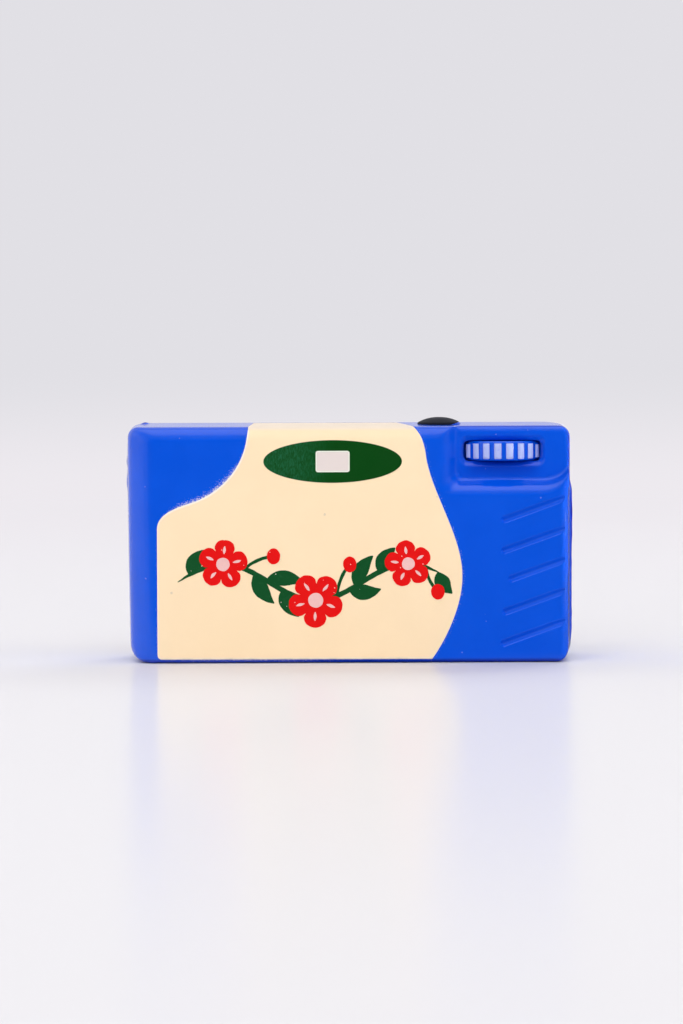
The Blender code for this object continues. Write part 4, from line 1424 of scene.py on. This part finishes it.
PALE_BACKDROP = (0.755, 0.745, 0.785, 1.0)
HORIZON = (0.85, 0.82, 0.86, 1.0)
FLOOR_MIRRORED = (0.03, 0.03, 0.033, 1.0)
DIM_ROOM = (0.14, 0.14, 0.15, 1.0)
FLOOR_PALE = (0.80, 0.785, 0.805, 1.0)
FLOOR_SIZE = (6.0, 4.0, 1.0)
FLOOR_PLACE = (0.0, -0.95, -0.0001)
WALL_GREY = (0.7, 0.7, 0.72, 1.0)
WALL_SIZE = (8.0, 4.0, 1.0)
WALL_PLACE = (0.0, 1.05, 1.9)
CAMERA_LENS = 166.7
CAMERA_DISTANCE = 1.2  # from the back face
CAMERA_HEIGHT = 93.29 * MM
CAMERA_AIM = (-1.9 * MM, BACK_Y, 38.29 * MM)
CAMERA_ROLL = math.radians(-0.2)
TOY_MIDDLE = (0.0, 0.0, 0.03)
RIGHT_SIDE = (RIGHT_X, 0.0, 0.05)
LAMPS = (  # name, place, aim, size, power in watts and, where it is narrow, the beam
    ("overhead_softbox", (-0.05, -0.6, 1.1), TOY_MIDDLE, (1.3, 0.5), 5.5),
    ("left_softbox", (-1.1, 0.05, 0.5), TOY_MIDDLE, (1.6, 1.0), 6.0),
    ("right_softbox", (1.1, -0.4, 0.4), TOY_MIDDLE, (0.8, 0.8), 5.0),
    ("front_fill", (-0.2, -1.7, 0.9), TOY_MIDDLE, (1.4, 1.0), 14.0),
    ("far_floor_wash", (0.0, 0.75, 1.3), (0.0, 0.75, 0.0), (2.2, 0.5), 6.0),
    ("lens_side_softbox", (0.4, 0.95, 0.8), TOY_MIDDLE, (0.8, 0.5), 4.0),
    ("right_side_strip", (0.5, 0.04, 0.01), RIGHT_SIDE, (0.06, 0.06), 0.035, math.radians(20)),
)


def make_floor():
    """A pale floor with a dull polish, which runs into the backdrop and looks dark from the toy."""
    bpy.ops.mesh.primitive_plane_add(size=1.0)
    bpy.context.object.scale = FLOOR_SIZE
    bpy.context.object.location = FLOOR_PLACE
    floor = settle("studio_floor")
    material, tree, shader = new_paint("studio_floor", 1.0, 0.0)
    shader.inputs["Base Color"].default_value = FLOOR_PALE
    polish = put(tree, "ShaderNodeBsdfGlossy", {"Color": (1.0, 1.0, 1.0, 1.0), "Roughness": 0.2})
    far = put(tree, "ShaderNodeEmission", {"Color": HORIZON, "Strength": 1.0})
    dim = put(tree, "ShaderNodeEmission", {"Color": FLOOR_MIRRORED, "Strength": 1.0})
    rays = put(tree, "ShaderNodeLightPath").outputs
    depth = place_on(tree)[1]["Y"]
    to_far = both(tree, rays["Is Camera Ray"], spread(tree, depth, 0.10, 0.95))
    whole, apart = place_on(tree)
    heading = put(tree, "ShaderNodeVectorMath", {"Vector": whole}, operation="NORMALIZE").outputs[0]
    toward = put(tree, "ShaderNodeSeparateXYZ", {"Vector": heading}).outputs
    to_left = sum_up(tree, "MULTIPLY", toward["X"], 1.2)
    to_right = sum_up(tree, "MULTIPLY", toward["X"], -0.2)
    ahead = sum_up(tree, "SUBTRACT", sum_up(tree, "MINIMUM", to_left, to_right), toward["Y"])
    right_side = spread(tree, apart["X"], 0.02, 0.08, 0.0, 0.85)
    seen_dim = sum_up(tree, "MAXIMUM", spread(tree, ahead, -0.45, 0.75), right_side)
    to_dim = both(tree, rays["Is Glossy Ray"], seen_dim)
    surface = shader.outputs[0]
    for share, other in ((0.2, polish), (to_far, far), (to_dim, dim)):
        layer = put(tree, "ShaderNodeMixShader", {"Fac": share})
        feed(tree, surface, layer.inputs[1])
        feed(tree, other.outputs[0], layer.inputs[2])
        surface = layer.outputs[0]
    feed(tree, surface, tree.nodes["Material Output"].inputs["Surface"])
    floor.data.materials.append(material)
    return floor


def make_backdrop():
    """A pale wall that only shows to the camera and in reflections."""
    bpy.ops.mesh.primitive_plane_add(size=1.0, rotation=(math.pi / 2, 0.0, 0.0))
    bpy.context.object.scale = WALL_SIZE
    bpy.context.object.location = WALL_PLACE
    backdrop = settle("studio_backdrop")
    material, tree, shader = new_paint("studio_backdrop", 1.0, 0.0)
    shader.inputs["Base Color"].default_value = WALL_GREY
    rays = put(tree, "ShaderNodeLightPath").outputs
    seen = sum_up(tree, "MAXIMUM", rays["Is Camera Ray"], rays["Is Glossy Ray"])
    climb = spread(tree, place_on(tree)[1]["Z"], 0.0, 0.06)
    tone = mix(tree, climb, HORIZON, PALE_BACKDROP)
    glow = put(tree, "ShaderNodeEmission", {"Color": tone, "Strength": 1.0})
    choice = put(tree, "ShaderNodeMixShader", {"Fac": seen})
    feed(tree, shader.outputs[0], choice.inputs[1])
    feed(tree, glow.outputs[0], choice.inputs[2])
    feed(tree, choice.outputs[0], tree.nodes["Material Output"].inputs["Surface"])
    backdrop.data.materials.append(material)
    return backdrop


def add_lamp(name, place, aim, size, power, beam=math.pi):
    data = bpy.data.lights.new(name, "AREA")
    data.shape = "RECTANGLE"
    data.size, data.size_y = size
    data.energy = power
    data.spread = beam
    lamp = bpy.data.objects.new(name, data)
    lamp.location = place
    lamp.rotation_euler = (Vector(aim) - Vector(place)).to_track_quat("-Z", "Y").to_euler()
    lamp.visible_camera = False
    lamp.visible_glossy = False
    bpy.context.scene.collection.objects.link(lamp)


def room_in_reflections(tree):
    """What gloss shows of the studio: soft light above and at the left, the backdrop, and dark elsewhere."""
    heading = put(tree, "ShaderNodeTexCoord").outputs["Generated"]
    apart = put(tree, "ShaderNodeSeparateXYZ", {"Vector": heading}).outputs
    above = spread(tree, apart["Z"], 0.5, 1.0, 0.0, 1.65)
    left = spread(tree, apart["X"], -0.15, -1.05, 0.0, 1.2)
    right = spread(tree, apart["X"], 0.2, 0.9, 0.0, 0.25)
    behind = spread(tree, apart["Y"], -0.2, 0.4, 0.0, 0.75)
    behind = both(tree, behind, spread(tree, apart["X"], -0.05, 0.12, 1.0, 0.15))
    level = sum_up(tree, "MAXIMUM", above, left)
    level = sum_up(tree, "MAXIMUM", level, sum_up(tree, "MAXIMUM", right, behind))
    return put(tree, "ShaderNodeCombineColor", dict.fromkeys(("Red", "Green", "Blue"), level)).outputs[0]


def light_studio():
    for lamp in LAMPS:
        add_lamp(*lamp)
    world = bpy.context.scene.world or bpy.data.worlds.new("studio")
    bpy.context.scene.world = world
    world.use_nodes = True
    tree = world.node_tree
    sky = tree.nodes["Background"]
    rays = put(tree, "ShaderNodeLightPath").outputs
    colour = mix(tree, rays["Is Glossy Ray"], DIM_ROOM, room_in_reflections(tree))
    feed(tree, mix(tree, rays["Is Camera Ray"], colour, PALE_BACKDROP), sky.inputs["Color"])
    sky.inputs["Strength"].default_value = 1.0


def add_camera():
    data = bpy.data.cameras.new("camera")
    data.sensor_fit = "VERTICAL"
    data.sensor_height = 36.0
    data.lens = CAMERA_LENS
    data.clip_start, data.clip_end = 0.05, 20.0
    camera = bpy.data.objects.new("camera", data)
    aim = Vector(CAMERA_AIM)
    camera.location = (aim.x, BACK_Y - CAMERA_DISTANCE, CAMERA_HEIGHT)
    camera.rotation_euler = (aim - camera.location).to_track_quat("-Z", "Y").to_euler()
    camera.rotation_euler.rotate_axis("Z", CAMERA_ROLL)
    bpy.context.scene.collection.objects.link(camera)
    bpy.context.scene.camera = camera


make_floor()
make_backdrop()
light_studio()
add_camera()
bpy.context.scene.view_settings.view_transform = "Standard"
